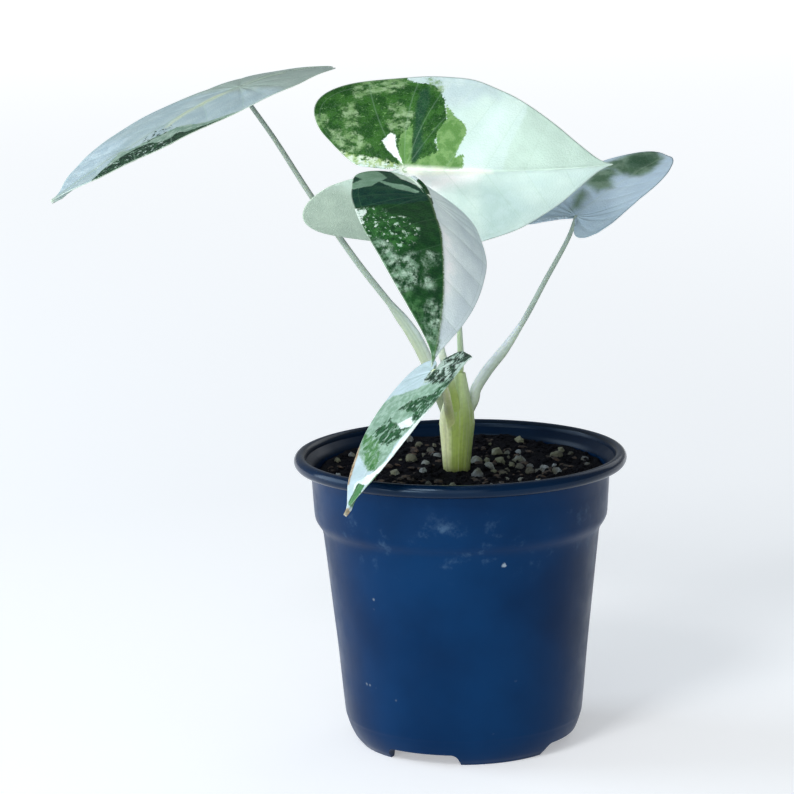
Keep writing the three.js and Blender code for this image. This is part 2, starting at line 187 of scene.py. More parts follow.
def extrude_rings(profile):
    """Extrudes the selected ring up a profile of [radius, height] pairs, in millimetres"""
    for (r0, z0), (r1, z1) in zip(profile, profile[1:]):
        bpy.ops.mesh.extrude_region_move(TRANSFORM_OT_translate={"value": (0, 0, (z1 - z0) * MM)})
        bpy.ops.transform.resize(value=(r1 / r0, r1 / r0, 1), center_override=(0, 0, 0))


def pot_profile():
    lower_wall = smooth_path(
        [[36.6, 0.6], [38.2, 2.5], [39.7, 5.5], [40.9, 9], [41.6, 13], [43.5, 34], [45.1, 49],
         [46.8, 65], [47.8, 74]],
        np.linspace(0, 1, WALL_STEPS),
    )
    band = [[48.1, 75.4], [48.45, 76.4], [49.3, 77.6], [50.1, 78.9], [50.55, 80], [50.75, 81.2],
            [51.3, 90], [51.7, 97.0]]
    middle = (RIM_RADIUS + LIP_RADIUS) / 2
    half_width = (RIM_RADIUS - LIP_RADIUS) / 2
    bead = []
    for k in range(BEAD_STEPS + 1):
        turn = math.radians(-90 + BEAD_TURN * k / BEAD_STEPS)
        bead.append([
            middle + half_width * math.cos(turn),
            POT_HEIGHT - BEAD_HALF_HEIGHT + BEAD_HALF_HEIGHT * math.sin(turn),
        ])
    inside = [[51.4, 98.2], [50.6, 97.2], [50.3, 96], [49.9, 89], [49.45, 80.4], [48.9, 78.2],
              [48.0, 76.2], [47.2, 74], [45.4, 63], [42.2, 34], [40.2, 13], [38.8, 8.5],
              [37, FLOOR_TOP], [20, FLOOR_TOP], [0.2, FLOOR_TOP]]
    return [[36.1, 0.0], *lower_wall.tolist(), *band, [51.9, 97.4], *bead, *inside]


bpy.ops.object.select_all(action="DESELECT")
bpy.ops.mesh.primitive_circle_add(vertices=POT_SIDES, radius=PAD_RADIUS * MM, location=(0, 0, 0))
pot = bpy.context.object
pot.name = "pot_moulding"
bpy.ops.object.mode_set(mode="EDIT")
bpy.ops.mesh.select_all(action="SELECT")
footing = [[PAD_RADIUS, 0], [PAD_RADIUS + 0.4, FLOOR_UNDERSIDE - 0.3],
           [PAD_RADIUS + 0.9, FLOOR_UNDERSIDE], [FOOT_RADIUS - FOOT_WIDTH - 0.8, FLOOR_UNDERSIDE],
           [FOOT_RADIUS - FOOT_WIDTH, 0.5], [FOOT_RADIUS - FOOT_WIDTH + 0.4, 0.0]]
extrude_rings([*footing, *pot_profile()])
bpy.ops.mesh.merge(type="CENTER")
bpy.ops.mesh.select_all(action="DESELECT")
bpy.ops.object.mode_set(mode="OBJECT")
for edge in pot.data.edges:
    ends = [pot.data.vertices[i].co for i in edge.vertices]
    edge.select = all(p.z < 1e-6 and p.xy.length < (PAD_RADIUS + 0.1) * MM for p in ends)
bpy.ops.object.mode_set(mode="EDIT")
bpy.ops.mesh.select_mode(type="EDGE")
bpy.ops.mesh.edge_face_add()
bpy.ops.mesh.select_all(action="SELECT")
bpy.ops.mesh.normals_make_consistent(inside=False)
bpy.ops.object.mode_set(mode="OBJECT")

for turn in SCALLOP_TURNS:
    angle = math.radians(turn)
    outward = Vector((math.sin(angle), -math.cos(angle), 0))
    bpy.ops.object.select_all(action="DESELECT")
    bpy.ops.mesh.primitive_cube_add(size=1, location=outward * SCALLOP_MIDDLE * MM)
    cutter = bpy.context.object
    cutter.rotation_euler.z = angle
    cutter.scale = Vector(SCALLOP_SIZE) * MM
    bpy.ops.object.transform_apply(location=True, rotation=True, scale=True)
    bpy.ops.object.mode_set(mode="EDIT")
    bpy.ops.mesh.bevel(offset=SCALLOP_ROUNDING * MM, segments=4, affect="EDGES")
    bpy.ops.object.mode_set(mode="OBJECT")
    bpy.ops.mesh.primitive_cylinder_add(
        vertices=32, radius=DRAIN_RADIUS * MM, depth=DRAIN_DEPTH * MM,
        location=(outward * DRAIN_CIRCLE + Vector((0, 0, FLOOR_TOP))) * MM,
    )
    drain = bpy.context.object
    for tool in (cutter, drain):
        bpy.context.view_layer.objects.active = pot
        cut = pot.modifiers.new("cut", "BOOLEAN")
        cut.operation = "DIFFERENCE"
        cut.solver = "EXACT"
        cut.object = tool
        bpy.ops.object.modifier_apply(modifier=cut.name)
        bpy.data.objects.remove(tool)
bpy.ops.object.select_all(action="DESELECT")
pot.select_set(True)
bpy.context.view_layer.objects.active = pot
bpy.ops.object.shade_smooth_by_angle(angle=math.radians(SHARP_ANGLE))


def blend_colour(tree, share, below, above):
    mix = add_node(tree, "ShaderNodeMix", {0: share, 6: below, 7: above}, data_type="RGBA")
    return mix.outputs[2]


def ramp(tree, value, low, high, to_low=0.0, to_high=1.0):
    """Eases from to_low to to_high as value goes from low to high"""
    return add_node(
        tree, "ShaderNodeMapRange",
        {"Value": value, "From Min": low, "From Max": high, "To Min": to_low, "To Max": to_high},
        interpolation_type="SMOOTHSTEP",
    ).outputs["Result"]


def noise_value(tree, place, scale, detail=3.0, roughness=0.5):
    return add_node(
        tree, "ShaderNodeTexNoise",
        {"Vector": place, "Scale": scale, "Detail": detail, "Roughness": roughness},
    ).outputs["Fac"]


def calculate(tree, operation, first, second=0.0):
    return add_node(tree, "ShaderNodeMath", {0: first, 1: second}, operation=operation).outputs[0]


def times(tree, first, second):
    return calculate(tree, "MULTIPLY", first, second)


def swing(tree, texture, amount):
    """A noise value turned from 0 to 1 into half of amount below and above 0"""
    return times(tree, calculate(tree, "SUBTRACT", texture, 0.5), amount)


def relief(tree, height, distance, strength):
    """The normal of a surface with fine relief, distance in metres"""
    return add_node(
        tree, "ShaderNodeBump", {"Height": height, "Distance": distance, "Strength": strength}
    ).outputs["Normal"]


def stretched(tree, place, scale):
    return add_node(tree, "ShaderNodeMapping", {"Vector": place, "Scale": scale}).outputs[0]


# The chip's place and soft edge, the heights where scuffs come up and fade out, those where
# the mouth gets painted shade, the middle of the wall from one height to another, and the lip's
# inner edge
CHIP_PLACE = (13.4, -45.7, 72.2)
CHIP_EDGE = (2.1, 1.5)
SCUFFS_START = (62, 78)
SCUFFS_END = (96, 84)
MOUTH_SHADE_FOOT = (81, 83)
WALL_MIDDLE_HEIGHTS = (96, 98.5)
WALL_MIDDLE_RADII = (50.5, 54.6)
LIP_FOOT = 97.4
LIP_INNER_RADIUS = 53.5


def pot_plastic(name, tones, shine, specular):
    """Blue plastic, clouded, scuffed near the step, with painted shade inside the mouth"""
    material, tree, shader = new_material(name)
    place = place_on_piece(tree)
    height = add_node(tree, "ShaderNodeSeparateXYZ", {"Vector": place}).outputs["Z"]
    height = times(tree, height, 1 / MM)
    level = add_node(tree, "ShaderNodeVectorMath", {0: place, 1: (1, 1, 0)}, operation="MULTIPLY")
    radius = add_node(tree, "ShaderNodeVectorMath", {0: level.outputs[0]}, operation="LENGTH")
    radius = times(tree, radius.outputs["Value"], 1 / MM)
    cloud = noise_value(tree, place, 28, 4)
    colour = blend_colour(tree, ramp(tree, cloud, 0.3, 0.7), *tones)

    near_step = times(tree, ramp(tree, height, *SCUFFS_START), ramp(tree, height, *SCUFFS_END))
    rubbed = ramp(tree, noise_value(tree, place, 110, 7, 0.68), 0.55, 0.78)
    scuff = times(tree, times(tree, rubbed, near_step), 0.3)
    colour = blend_colour(tree, scuff, colour, srgb(100, 132, 158))

    dots = add_node(tree, "ShaderNodeTexVoronoi", {"Vector": place, "Scale": 210.0})
    sparse = ramp(tree, noise_value(tree, place, 60, 2), 0.64, 0.7)
    dust = times(tree, ramp(tree, dots.outputs["Distance"], 0.16, 0.08, 0.0, 0.4), sparse)
    colour = blend_colour(tree, dust, colour, srgb(170, 180, 180))

    from_chip = add_node(
        tree, "ShaderNodeVectorMath", {0: place, 1: Vector(CHIP_PLACE) * MM}, operation="DISTANCE"
    ).outputs["Value"]
    ragged = times(tree, noise_value(tree, place, 900, 3), 2.2)
    from_chip = calculate(tree, "ADD", times(tree, from_chip, 1 / MM), ragged)
    chip = ramp(tree, from_chip, *CHIP_EDGE, 0.0, 0.7)
    colour = blend_colour(tree, chip, colour, srgb(150, 166, 178))

    # Painted shade: the inside of the mouth is darkened where the wall lies in shadow
    wall_middle = ramp(tree, height, *WALL_MIDDLE_HEIGHTS, *WALL_MIDDLE_RADII)
    within = calculate(tree, "SUBTRACT", wall_middle, radius)
    painted_mouth_shade = times(tree, ramp(tree, within, 0.0, 0.4, 0.0, 0.75), ramp(tree, height, *MOUTH_SHADE_FOOT))
    colour = blend_colour(tree, painted_mouth_shade, colour, srgb(4, 10, 18))

    rub = noise_value(tree, place, 90, 5, 0.6)
    grain = times(tree, noise_value(tree, place, 2600, 2), 0.02)
    dents = noise_value(tree, stretched(tree, place, (45, 45, 18)), 1.0, 3)
    fill_inputs(tree, shader, {
        "Base Color": colour, "Roughness": ramp(tree, rub, 0.3, 0.7, shine, shine + 0.12),
        "Specular IOR Level": specular, "Specular Tint": (0.55, 0.78, 1.0, 1.0),
        "Normal": relief(tree, calculate(tree, "ADD", grain, dents), 0.0004, 0.4),
    })
    return material


pot.data.materials.append(
    pot_plastic("blue_pot_wall", (srgb(0, 32, 68), srgb(2, 42, 82)), 0.28, 0.12)
)
# The lip is the same plastic, glossier; its darker tones are painted shade
pot.data.materials.append(
    pot_plastic("blue_pot_lip", (srgb(0, 18, 42), srgb(0, 26, 54)), 0.14, 0.25)
)
for face in pot.data.polygons:
    from_axis = face.center.xy.length
    if face.center.z > LIP_FOOT * MM and from_axis > LIP_INNER_RADIUS * MM:
        face.material_index = 1
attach(pot, "root")
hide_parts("pot")


# Potting mix: near-black peat and bark that fills the pot to just under the rim. Its
# surface is crumbly, banked up a little to the back and heaped round the plant.
SOIL_LEVEL = 95.5
SOIL_RADIUS = 49.7
SOIL_FOOT_RADIUS = 36.7
SOIL_RISE = 2.4
SOIL_SIDES = 220
SOIL_RINGS = 66
FLOOR_GAP = 0.3
CROWN_FOOT = (-1.4, -2.0)
HEAP_WIDTH = 13


def soil_height(x, y):
    """Height of the crumbly surface, in millimetres"""
    low = noise.noise(Vector((x * 0.05, y * 0.05, 3.1)))
    middle = noise.noise(Vector((x * 0.16, y * 0.16, 8.7)))
    fine = noise.turbulence(Vector((x * 0.42, y * 0.42, 1.9)), 3, False)
    from_plant = math.hypot(x - CROWN_FOOT[0], y - CROWN_FOOT[1])
    heaped = 1.12 * math.exp(-((from_plant / HEAP_WIDTH) ** 2))
    banked = SOIL_RISE * max(y, 0) / SOIL_RADIUS
    return SOIL_LEVEL - 0.6 + 1.2 * low + 0.9 * middle + 0.8 * fine + heaped + banked


bpy.ops.object.select_all(action="DESELECT")
bpy.ops.mesh.primitive_circle_add(
    vertices=SOIL_SIDES, radius=SOIL_FOOT_RADIUS * MM,
    location=(0, 0, (FLOOR_TOP + FLOOR_GAP) * MM), fill_type="TRIFAN",
)
soil = bpy.context.object
soil.name = "potting_mix"
bpy.ops.object.mode_set(mode="EDIT")
bpy.ops.mesh.select_mode(type="EDGE")
bpy.ops.mesh.select_all(action="SELECT")
bpy.ops.mesh.region_to_loop()
walls = [[SOIL_FOOT_RADIUS, FLOOR_TOP + FLOOR_GAP], [38.1, 8.5], [39.8, 13], [41.9, 34],
         [45.1, 63], [46.6, 74], [49, 80], [SOIL_RADIUS, SOIL_LEVEL]]
surface = [[r, SOIL_LEVEL] for r in np.linspace(SOIL_RADIUS, 0.6, SOIL_RINGS)]
extrude_rings([*walls, *surface[1:]])
bpy.ops.mesh.merge(type="CENTER")
bpy.ops.object.mode_set(mode="OBJECT")
bpy.ops.object.transform_apply(location=True, rotation=False, scale=False)
for vertex in soil.data.vertices:
    if vertex.co.z > (SOIL_LEVEL - 0.5) * MM:
        vertex.co.z = soil_height(vertex.co.x / MM, vertex.co.y / MM) * MM
bpy.ops.object.shade_smooth()

soil_mix, tree, shader = new_material("dark_potting_mix")
place = place_on_piece(tree)
coarse = noise_value(tree, place, 420, 6, 0.65)
colour = blend_colour(tree, ramp(tree, coarse, 0.35, 0.7), srgb(2, 4, 12), srgb(17, 17, 25))
chips = noise_value(tree, place, 1500, 3)
colour = blend_colour(tree, ramp(tree, chips, 0.64, 0.76, 0, 0.5), colour, srgb(52, 46, 42))
fill_inputs(tree, shader, {
    "Base Color": colour, "Roughness": 0.85, "Specular IOR Level": 0.1,
    "Normal": relief(tree, noise_value(tree, place, 900, 6, 0.7), 0.0012, 1.0),
})
soil.data.materials.append(soil_mix)
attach(soil, "root")
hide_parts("soil")


# Peat crumbs and bark slivers: the coarse part of the mix, which lies loose on its
# surface. Crumbs are rounded lumps of peat, slivers are flat strips of composted bark.
CRUMB_COUNT = 1500
CRUMB_SIZES = (0.35, 1.1)
CRUMB_FLATNESS = (0.5, 0.9)
SLIVER_COUNT = 150
SLIVER_SIZES = (0.9, 2.2)
SLIVER_FLATNESS = (0.25, 0.45)
SHAPE_COUNT = 5
CROWN_HOLE = 5.6
GRAIN_REACH = 47.5
WALL_REACH = 49


def rough_grain(name, facets, roughness, seed):
    """One unit grain: a ball pushed out of round by noise"""
    bpy.ops.object.select_all(action="DESELECT")
    bpy.ops.mesh.primitive_ico_sphere_add(subdivisions=facets, radius=1)
    grain = bpy.context.object
    grain.name = name
    for vertex in grain.data.vertices:
        push = noise.noise(vertex.co * 1.3 + Vector((seed, 0, 0)))
        vertex.co *= 1 + roughness * push
    return grain


def scatter(name, grains, spots, material, seed):
    """Copies unit grains to spots of (x, y, size, flatness), joined as one piece"""
    draw = random.Random(seed)
    copies = []
    for x, y, size, flat in spots:
        grain = draw.choice(grains)
        copy = bpy.data.objects.new(name, grain.data.copy())
        bpy.context.scene.collection.objects.link(copy)
        heading, tilt = draw.uniform(0, 6.3), draw.uniform(-0.5, 0.5)
        turn = Matrix.Rotation(heading, 4, "Z") @ Matrix.Rotation(tilt, 4, "X")
        shape = Matrix.Diagonal((size, size * draw.uniform(0.6, 0.95), size * flat, 1))
        lift = soil_height(x, y) + size * flat * draw.uniform(0.15, 0.55)
        copy.data.transform(
            Matrix.Translation(Vector((x, y, lift)) * MM) @ turn @ shape @ Matrix.Scale(MM, 4)
        )
        copies.append(copy)
    bpy.ops.object.select_all(action="DESELECT")
    for copy in copies:
        copy.select_set(True)
    bpy.context.view_layer.objects.active = copies[0]
    bpy.ops.object.join()
    heap = bpy.context.object
    heap.name = name
    heap.data.materials.append(material)
    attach(heap, "root")


def free_spots(count, sizes, flats, seed):
    """Seeded spots on the mix, clear of the crown and the wall"""
    draw = random.Random(seed)
    spots = []
    while len(spots) < count:
        r = GRAIN_REACH * math.sqrt(draw.random())
        turn = draw.uniform(0, 2 * math.pi)
        x, y = r * math.cos(turn), r * math.sin(turn)
        size = draw.uniform(*sizes)
        from_plant = math.hypot(x - CROWN_FOOT[0], y - CROWN_FOOT[1])
        if from_plant >= CROWN_HOLE + size and r + size <= WALL_REACH:
            spots.append((x, y, size, draw.uniform(*flats)))
    return spots


crumb_shapes = [rough_grain(f"crumb_shape_{k}", 1, 0.5, 3.0 * k) for k in range(SHAPE_COUNT)]
spots = free_spots(CRUMB_COUNT, CRUMB_SIZES, CRUMB_FLATNESS, 5)
scatter("peat_crumbs", crumb_shapes, spots, soil_mix, 6)

bark_mix, tree, shader = new_material("bark_slivers")
streak = noise_value(tree, place_on_piece(tree), 700, 5, 0.6)
colour = blend_colour(tree, ramp(tree, streak, 0.35, 0.68), srgb(18, 14, 14), srgb(66, 50, 38))
fill_inputs(tree, shader, {
    "Base Color": colour, "Roughness": 0.8, "Normal": relief(tree, streak, 0.0008, 0.8),
})
spots = free_spots(SLIVER_COUNT, SLIVER_SIZES, SLIVER_FLATNESS, 21)
scatter("bark_slivers", crumb_shapes, spots, bark_mix, 22)


# Perlite: pale grains of puffed volcanic glass, stirred into the mix for air. The large
# ones lie where they show from the front, small ones between them, all dusted with peat.
PERLITE_SIZES = (1.3, 2.2)
SMALL_PERLITE_COUNT = 55
SMALL_PERLITE_SIZES = (0.5, 1.4)
PERLITE_SEEN = [
    (-42.8, 17), (-37.8, 23.1), (-22.6, -5), (-17.1, 42), (-12.3, 22.3), (-12.9, -2.6),
    (-7.7, 21.9), (5.6, 7.4), (9.4, 7), (14, 8.3), (13.3, 20.1), (16.8, 19.8), (20.7, 1.1),
    (23.9, -5.7), (27.3, -6), (5.5, -12.2), (14.5, -8.2), (43.6, 10.8), (34.2, 14.9),
    (-22, 38), (-14, 35), (-26, 33), (-10, 30), (-17, 14), (-12, 9), (24, 3), (29, -1),
    (18, 5), (33, -6), (21, 12), (10, -2), (36, 24), (22, 41), (-30, 6),
]
perlite_skin, tree, shader = new_material("perlite_grains")
place = place_on_piece(tree)
tint = noise_value(tree, place, 95, 2)
colour = blend_colour(tree, ramp(tree, tint, 0.42, 0.62), srgb(104, 108, 88), srgb(160, 172, 180))
dusted = noise_value(tree, place, 55, 2)
colour = blend_colour(tree, ramp(tree, dusted, 0.45, 0.62, 0, 0.72), colour, srgb(34, 34, 38))
pores = noise_value(tree, place, 1700, 5, 0.6)
colour = blend_colour(tree, ramp(tree, pores, 0.52, 0.36, 0, 0.55), colour, srgb(92, 86, 76))
fill_inputs(tree, shader, {
    "Base Color": colour, "Roughness": 0.9, "Normal": relief(tree, pores, 0.0005, 1.0),
})
perlite_shapes = [
    rough_grain(f"perlite_shape_{k}", 2, 0.45, 40 + 3.0 * k) for k in range(SHAPE_COUNT)
]
size_draw = random.Random(31)
spots = [(x, y, size_draw.uniform(*PERLITE_SIZES), 0.8) for x, y in PERLITE_SEEN]
spots += free_spots(SMALL_PERLITE_COUNT, SMALL_PERLITE_SIZES, (0.65, 0.9), 33)
scatter("perlite", perlite_shapes, spots, perlite_skin, 34)
for shape in crumb_shapes + perlite_shapes:
    bpy.data.objects.remove(shape)


# Crown: the short thick base of the plant, pale yellow-green, wrapped by the overlapping
# sheaths of the older leaf stalks, whose thin edges run up it at a slant.
CROWN_ROUTE = [[-1.4, -2, 74], [-1.4, -2, 95], [-1.0, -2, 112], [-0.6, -2, 121], [0, -2, 130]]
CROWN_WIDTHS = [
    [0, 2.6, 2.4], [0.37, 4.4, 3.9], [0.53, 5.2, 4.4], [0.68, 6.0, 4.8], [0.76, 5.6, 4.5],
    [0.86, 4.2, 3.6], [1, 2.2, 2.0],
]
SHEATH_ANGLE = 50
SIDE_SOFTNESS = 0.26


def even_path(route, places):
    """Points at even shares of the length of the smooth curve through the route"""
    fine = smooth_path(route, np.linspace(0, 1, 400))
    run = np.concatenate([[0], np.cumsum(np.linalg.norm(np.diff(fine, axis=0), axis=1))])
    at = np.asarray(places) * run[-1]
    return np.stack([np.interp(at, run, fine[:, k]) for k in range(3)], axis=1)


def stalk(name, route, widths, around, along, shape):
    """A closed stalk rolled from a grid: shape(turn, t) scales its radius at t along it and
    turn around it, from the right side at 0 by way of the front"""
    bpy.ops.object.select_all(action="DESELECT")
    bpy.ops.mesh.primitive_grid_add(x_subdivisions=around, y_subdivisions=along, size=2)
    piece = bpy.context.object
    piece.name = name
    grid = np.array([v.co for v in piece.data.vertices])
    turn = (grid[:, 0] + 1) * math.pi
    t = (grid[:, 1] + 1) / 2
    at, halves, depths = np.array(widths, float).T
    half, depth = np.interp(t, at, halves), np.interp(t, at, depths)
    middle = even_path(route, t)
    ahead = even_path(route, np.minimum(t + 0.01, 1)) - even_path(route, np.maximum(t - 0.01, 0))
    ahead /= np.linalg.norm(ahead, axis=1)[:, None]
    across = np.cross([0, 1, 0], ahead)
    across /= np.linalg.norm(across, axis=1)[:, None]
    through = np.cross(across, ahead)
    grow = shape(turn, t)
    place = (
        middle
        + across * (half * np.cos(turn) * grow)[:, None]
        + through * (depth * np.sin(turn) * grow)[:, None]
    )
    piece.data.vertices.foreach_set("co", (place * MM).ravel())
    skin = np.stack([np.cos(turn), np.sin(turn), t], axis=1)
    layer = piece.data.attributes.new("stalk_place", "FLOAT_VECTOR", "POINT")
    layer.data.foreach_set("vector", skin.ravel())
    bpy.ops.object.mode_set(mode="EDIT")
    bpy.ops.mesh.select_all(action="SELECT")
    bpy.ops.mesh.remove_doubles(threshold=1e-7)
    bpy.ops.mesh.select_all(action="DESELECT")
    bpy.ops.mesh.select_non_manifold()
    bpy.ops.mesh.edge_face_add()
    bpy.ops.mesh.select_all(action="SELECT")
    bpy.ops.mesh.normals_make_consistent(inside=False)
    bpy.ops.object.mode_set(mode="OBJECT")
    bpy.ops.object.shade_smooth_by_angle(angle=math.radians(SHEATH_ANGLE))
    return piece


def crown_shape(turn, t):
    """Each sheath wraps the next, so its edge stands a little proud where it ends"""
    left_edge = 2.3 + 0.25 * t
    right_edge = 0.75 + 0.35 * t
    wrapped = 1 / (1 + np.exp(-(np.cos(turn) - math.cos(0.95)) / 0.03))
    inside = 1 / (1 + np.exp((right_edge - turn) / 0.05)) / (1 + np.exp((turn - left_edge) / 0.05))
    ribs = 0.012 * np.cos(9 * turn + 2 * t) + 0.008 * np.cos(23 * turn)
    return 1.0 - 0.06 * inside + 0.02 * wrapped + ribs


def tissue_material(name, colours, bounds, ends):
    """Stalk tissue: three colours from the left side to the right one, with fine ribs, and
    further ones at its ends, each with where it is full, where it is gone, and its strength"""
    material, tree, shader = new_material(name)
    spot = add_node(tree, "ShaderNodeAttribute", attribute_name="stalk_place").outputs["Vector"]
    side = add_node(tree, "ShaderNodeSeparateXYZ", {"Vector": spot})
    place = place_on_piece(tree)
    ribs = noise_value(tree, stretched(tree, spot, (11, 11, 2.0)), 1.0, 4, 0.6)
    across = side.outputs["X"]
    for texture, amount in ((ribs, 0.7), (noise_value(tree, place, 110, 3), 0.8)):
        across = calculate(tree, "ADD", across, swing(tree, texture, amount))
    colour = colours[0]
    for bound, further in zip(bounds, colours[1:]):
        share = ramp(tree, across, bound - SIDE_SOFTNESS, bound + SIDE_SOFTNESS)
        colour = blend_colour(tree, share, colour, further)
    for full, gone, strength, end_colour in ends:
        share = ramp(tree, side.outputs["Z"], full, gone, strength, 0.0)
        colour = blend_colour(tree, share, colour, end_colour)
    streaks = ramp(tree, ribs, 0.48, 0.7, 0.0, 0.45)
    colour = blend_colour(tree, streaks, colour, srgb(222, 230, 206))
    mottle = noise_value(tree, place, 900, 4)
    colour = blend_colour(tree, ramp(tree, mottle, 0.3, 0.8, 0.0, 0.2), colour, srgb(120, 140, 90))
    fill_inputs(tree, shader, {
        "Base Color": colour, "Roughness": 0.4, "Specular IOR Level": 0.3,
        "Subsurface Weight": 0.3, "Subsurface Radius": (1.0, 1.0, 0.6),
        "Subsurface Scale": 0.0012, "Normal": relief(tree, ribs, 0.0004, 0.6),
    })
    return material


crown = stalk("crown_base", CROWN_ROUTE, CROWN_WIDTHS, 128, 120, crown_shape)
# The pale first colour, on the crown's left side, is painted light where the lamps fall and the low
# blade's shadow lies; the other two are its own yellow-green
crown.data.materials.append(
    tissue_material(
        "crown_tissue",
        [srgb(240, 246, 194), srgb(194, 220, 112), srgb(166, 190, 106)],
        (-0.45, 0.5),
        [(0.9, 0.7, 0.4, srgb(206, 224, 206)), (0.37, 0.55, 0.7, srgb(132, 146, 62)),
         (0.37, 0.43, 0.85, srgb(76, 76, 48))],
    )
)
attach(crown, "root")
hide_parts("crown")


# Leaf stalks: round and juicy, pale grey-green, each clasping the crown with a thin sheath
# that opens along its inner side. They thin out upwards and join their blade from below.
PETIOLES = {
    "left": (
        [[-2.4, -1.5, 106], [-4.2, -1, 115], [-8, -1, 125.5], [-11.5, 0, 135],
         [-15.9, 1, 143.5], [-22.6, 3, 152.6], [-34.8, 5, 168.6], [-49.4, 8, 190.2],
         [-61.6, 10, 209.9], [-70, 9.5, 222.5], [-73.4, 8, 228.5]],
        [[0, 2.2, 1.5], [0.15, 2.4, 1.3], [0.27, 2.5, 1.1], [0.325, 2.1, 1.1], [0.37, 1.25, 1.1],
         [1, 0.75, 0.9]],
        [srgb(160, 174, 154), srgb(156, 174, 160), srgb(184, 198, 200)],
        (-0.3, 0.45),
        [(0.1, 0.3, 0.5, srgb(204, 214, 176)), (0.42, 0.26, 0.9, srgb(140, 157, 150))],
    ),
    "middle": (
        [[-0.6, -2, 118], [0, -2, 127], [0.6, -2, 134.2], [0.5, -2, 141.3], [-0.1, -1, 152],
         [-2.3, 2, 166.6], [-6.9, 1, 181], [-12, -6, 194], [-16, -16, 202], [-17.4, -24, 203.2]],
        [[0, 1.6, 1.4], [0.25, 1.05, 1.05], [1, 0.95, 0.95]],
        [srgb(178, 202, 168), srgb(174, 198, 162), srgb(190, 210, 190)],
        (-0.3, 0.4),
        [(0.08, 0.2, 0.8, srgb(182, 204, 110))],
    ),
    "front": (
        [[-0.6, -3.4, 105], [-0.9, -4.7, 112], [-1.5, -6, 120], [-3.6, -8, 130], [-6.1, -11, 139.2],
         [-7.8, -18, 151], [-9, -29, 166], [-10, -41, 180], [-10.6, -51, 190.5],
         [-10.2, -55.2, 198.6]],
        [[0, 0.4, 0.4], [0.12, 1.6, 0.7], [0.26, 1.5, 1.1], [1, 1, 1]],
        [srgb(228, 240, 224), srgb(222, 236, 214), srgb(218, 234, 218)],
        (-0.3, 0.4),
        [(0.16, 0.28, 1.0, srgb(198, 222, 122))],
    ),
    "low": (
        [[-2.2, -3, 106], [-2.8, -5.3, 111], [-3.4, -7, 115.2], [-4, -11, 119.2],
         [-4.3, -17, 122.8], [-5.4, -22.3, 128.6], [-8.8, -26.1, 135.1]],
        [[0, 0.4, 0.4], [0.15, 1.6, 0.6], [0.35, 1.7, 0.8], [0.5, 1.5, 1.2], [1, 1, 1]],
        [srgb(236, 242, 200), srgb(224, 236, 172), srgb(236, 242, 196)],
        (-0.3, 0.4),
        # The foot colour is the sheath's own yellow-green, brightened as painted light where the
        # low blade's shadow falls
        [(0.2, 0.45, 0.95, srgb(232, 244, 164))],
    ),
    "right": (
        [[0.6, -1, 105], [1.8, 0, 113], [4.9, 1, 119.6], [5.9, 2, 123.5], [10, 4, 129.5],
         [15.8, 6, 136.2], [22.9, 9, 145.9], [30.7, 13, 159.1], [38.6, 17, 172.4],
         [42, 20.1, 180.3]],
        [[0, 2.0, 1.4], [0.28, 2.1, 1.2], [0.4, 1.9, 1.1], [0.52, 1.05, 1], [1, 0.74, 0.8]],
        [srgb(232, 242, 248), srgb(206, 224, 216), srgb(190, 208, 190)],
        (-0.25, 0.35),
        [(0.12, 0.3, 0.4, srgb(206, 218, 170)), (0.6, 0.46, 0.85, srgb(138, 158, 150))],
    ),
}


def petiole_shape(turn, t):
    """Faint ribs all round, and sides that flatten a little towards the foot"""
    return 1 - 0.05 * (1 + np.cos(2 * turn)) * (1 - t) + 0.015 * np.cos(7 * turn)


for name, (route, widths, colours, bounds, ends) in PETIOLES.items():
    petiole = stalk(f"stalk_{name}", route, widths, 48, 130, petiole_shape)
    petiole.data.materials.append(tissue_material(f"stalk_tissue_{name}", colours, bounds, ends))
    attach(petiole, "root")
    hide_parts(f"petiole_{name}")


# Leaf blades: thin leathery arrow-shaped sheets with a raised midrib below and sunken side
# veins above. Each is one sheet, white to ice-grey, with green sectors of its own.
HALF_OUTLINE = [
    [-0.015, 0.006], [-0.12, 0.028], [-0.24, 0.055], [-0.36, 0.11], [-0.445, 0.2],
    [-0.47, 0.3], [-0.42, 0.385], [-0.3, 0.445], [-0.12, 0.485], [0.08, 0.5],
    [0.28, 0.475], [0.46, 0.405], [0.62, 0.315], [0.75, 0.215],
]
POINTED_TIP = [[0.85, 0.115], [0.92, 0.045], [0.96, 0.016], [1, 0]]
CLEFT_SHARE = 0.2
BEAK_WIDTH = 0.035
BLADE_THICKNESS = 0.55
MARGIN_SHARE = 0.35
MARGIN_WIDTH = 1.5
RIB_WIDTH = 1.5
RIB_HEIGHT = 0.25
UNDER_RIB_HEIGHT = 1.1
VEIN_STEP = 0.19
GROOVE_WIDTH = 0.9
GROOVE_DEPTH = 0.14
UNDER_VEIN_HEIGHT = 0.3
VEIN_FADE = 6
MARGIN_VEIN = 2.4
UNDER_SOFTNESS = 2.5
HALF_STEPS = 150
RINGS = 64


def bend_means(first, linear, square):
    """Mean cos and sin of an angle that grows from first by linear and square terms"""
    s = np.arange(0.5, 16) / 16
    angle = first[:, None] + linear[:, None] * s + square[:, None] * s * s
    return np.cos(angle).mean(axis=1), np.sin(angle).mean(axis=1)


def blade_frame(blade):
    h, p, r = (math.radians(blade[key]) for key in ("heading", "pitch", "roll"))
    along = np.array([math.cos(p) * math.cos(h), math.cos(p) * math.sin(h), math.sin(p)])
    level = np.array([-math.sin(p) * math.cos(h), -math.sin(p) * math.sin(h), math.cos(p)])
    up = math.cos(r) * level + math.sin(r) * np.cross(along, level)
    return along, up, np.cross(along, up)


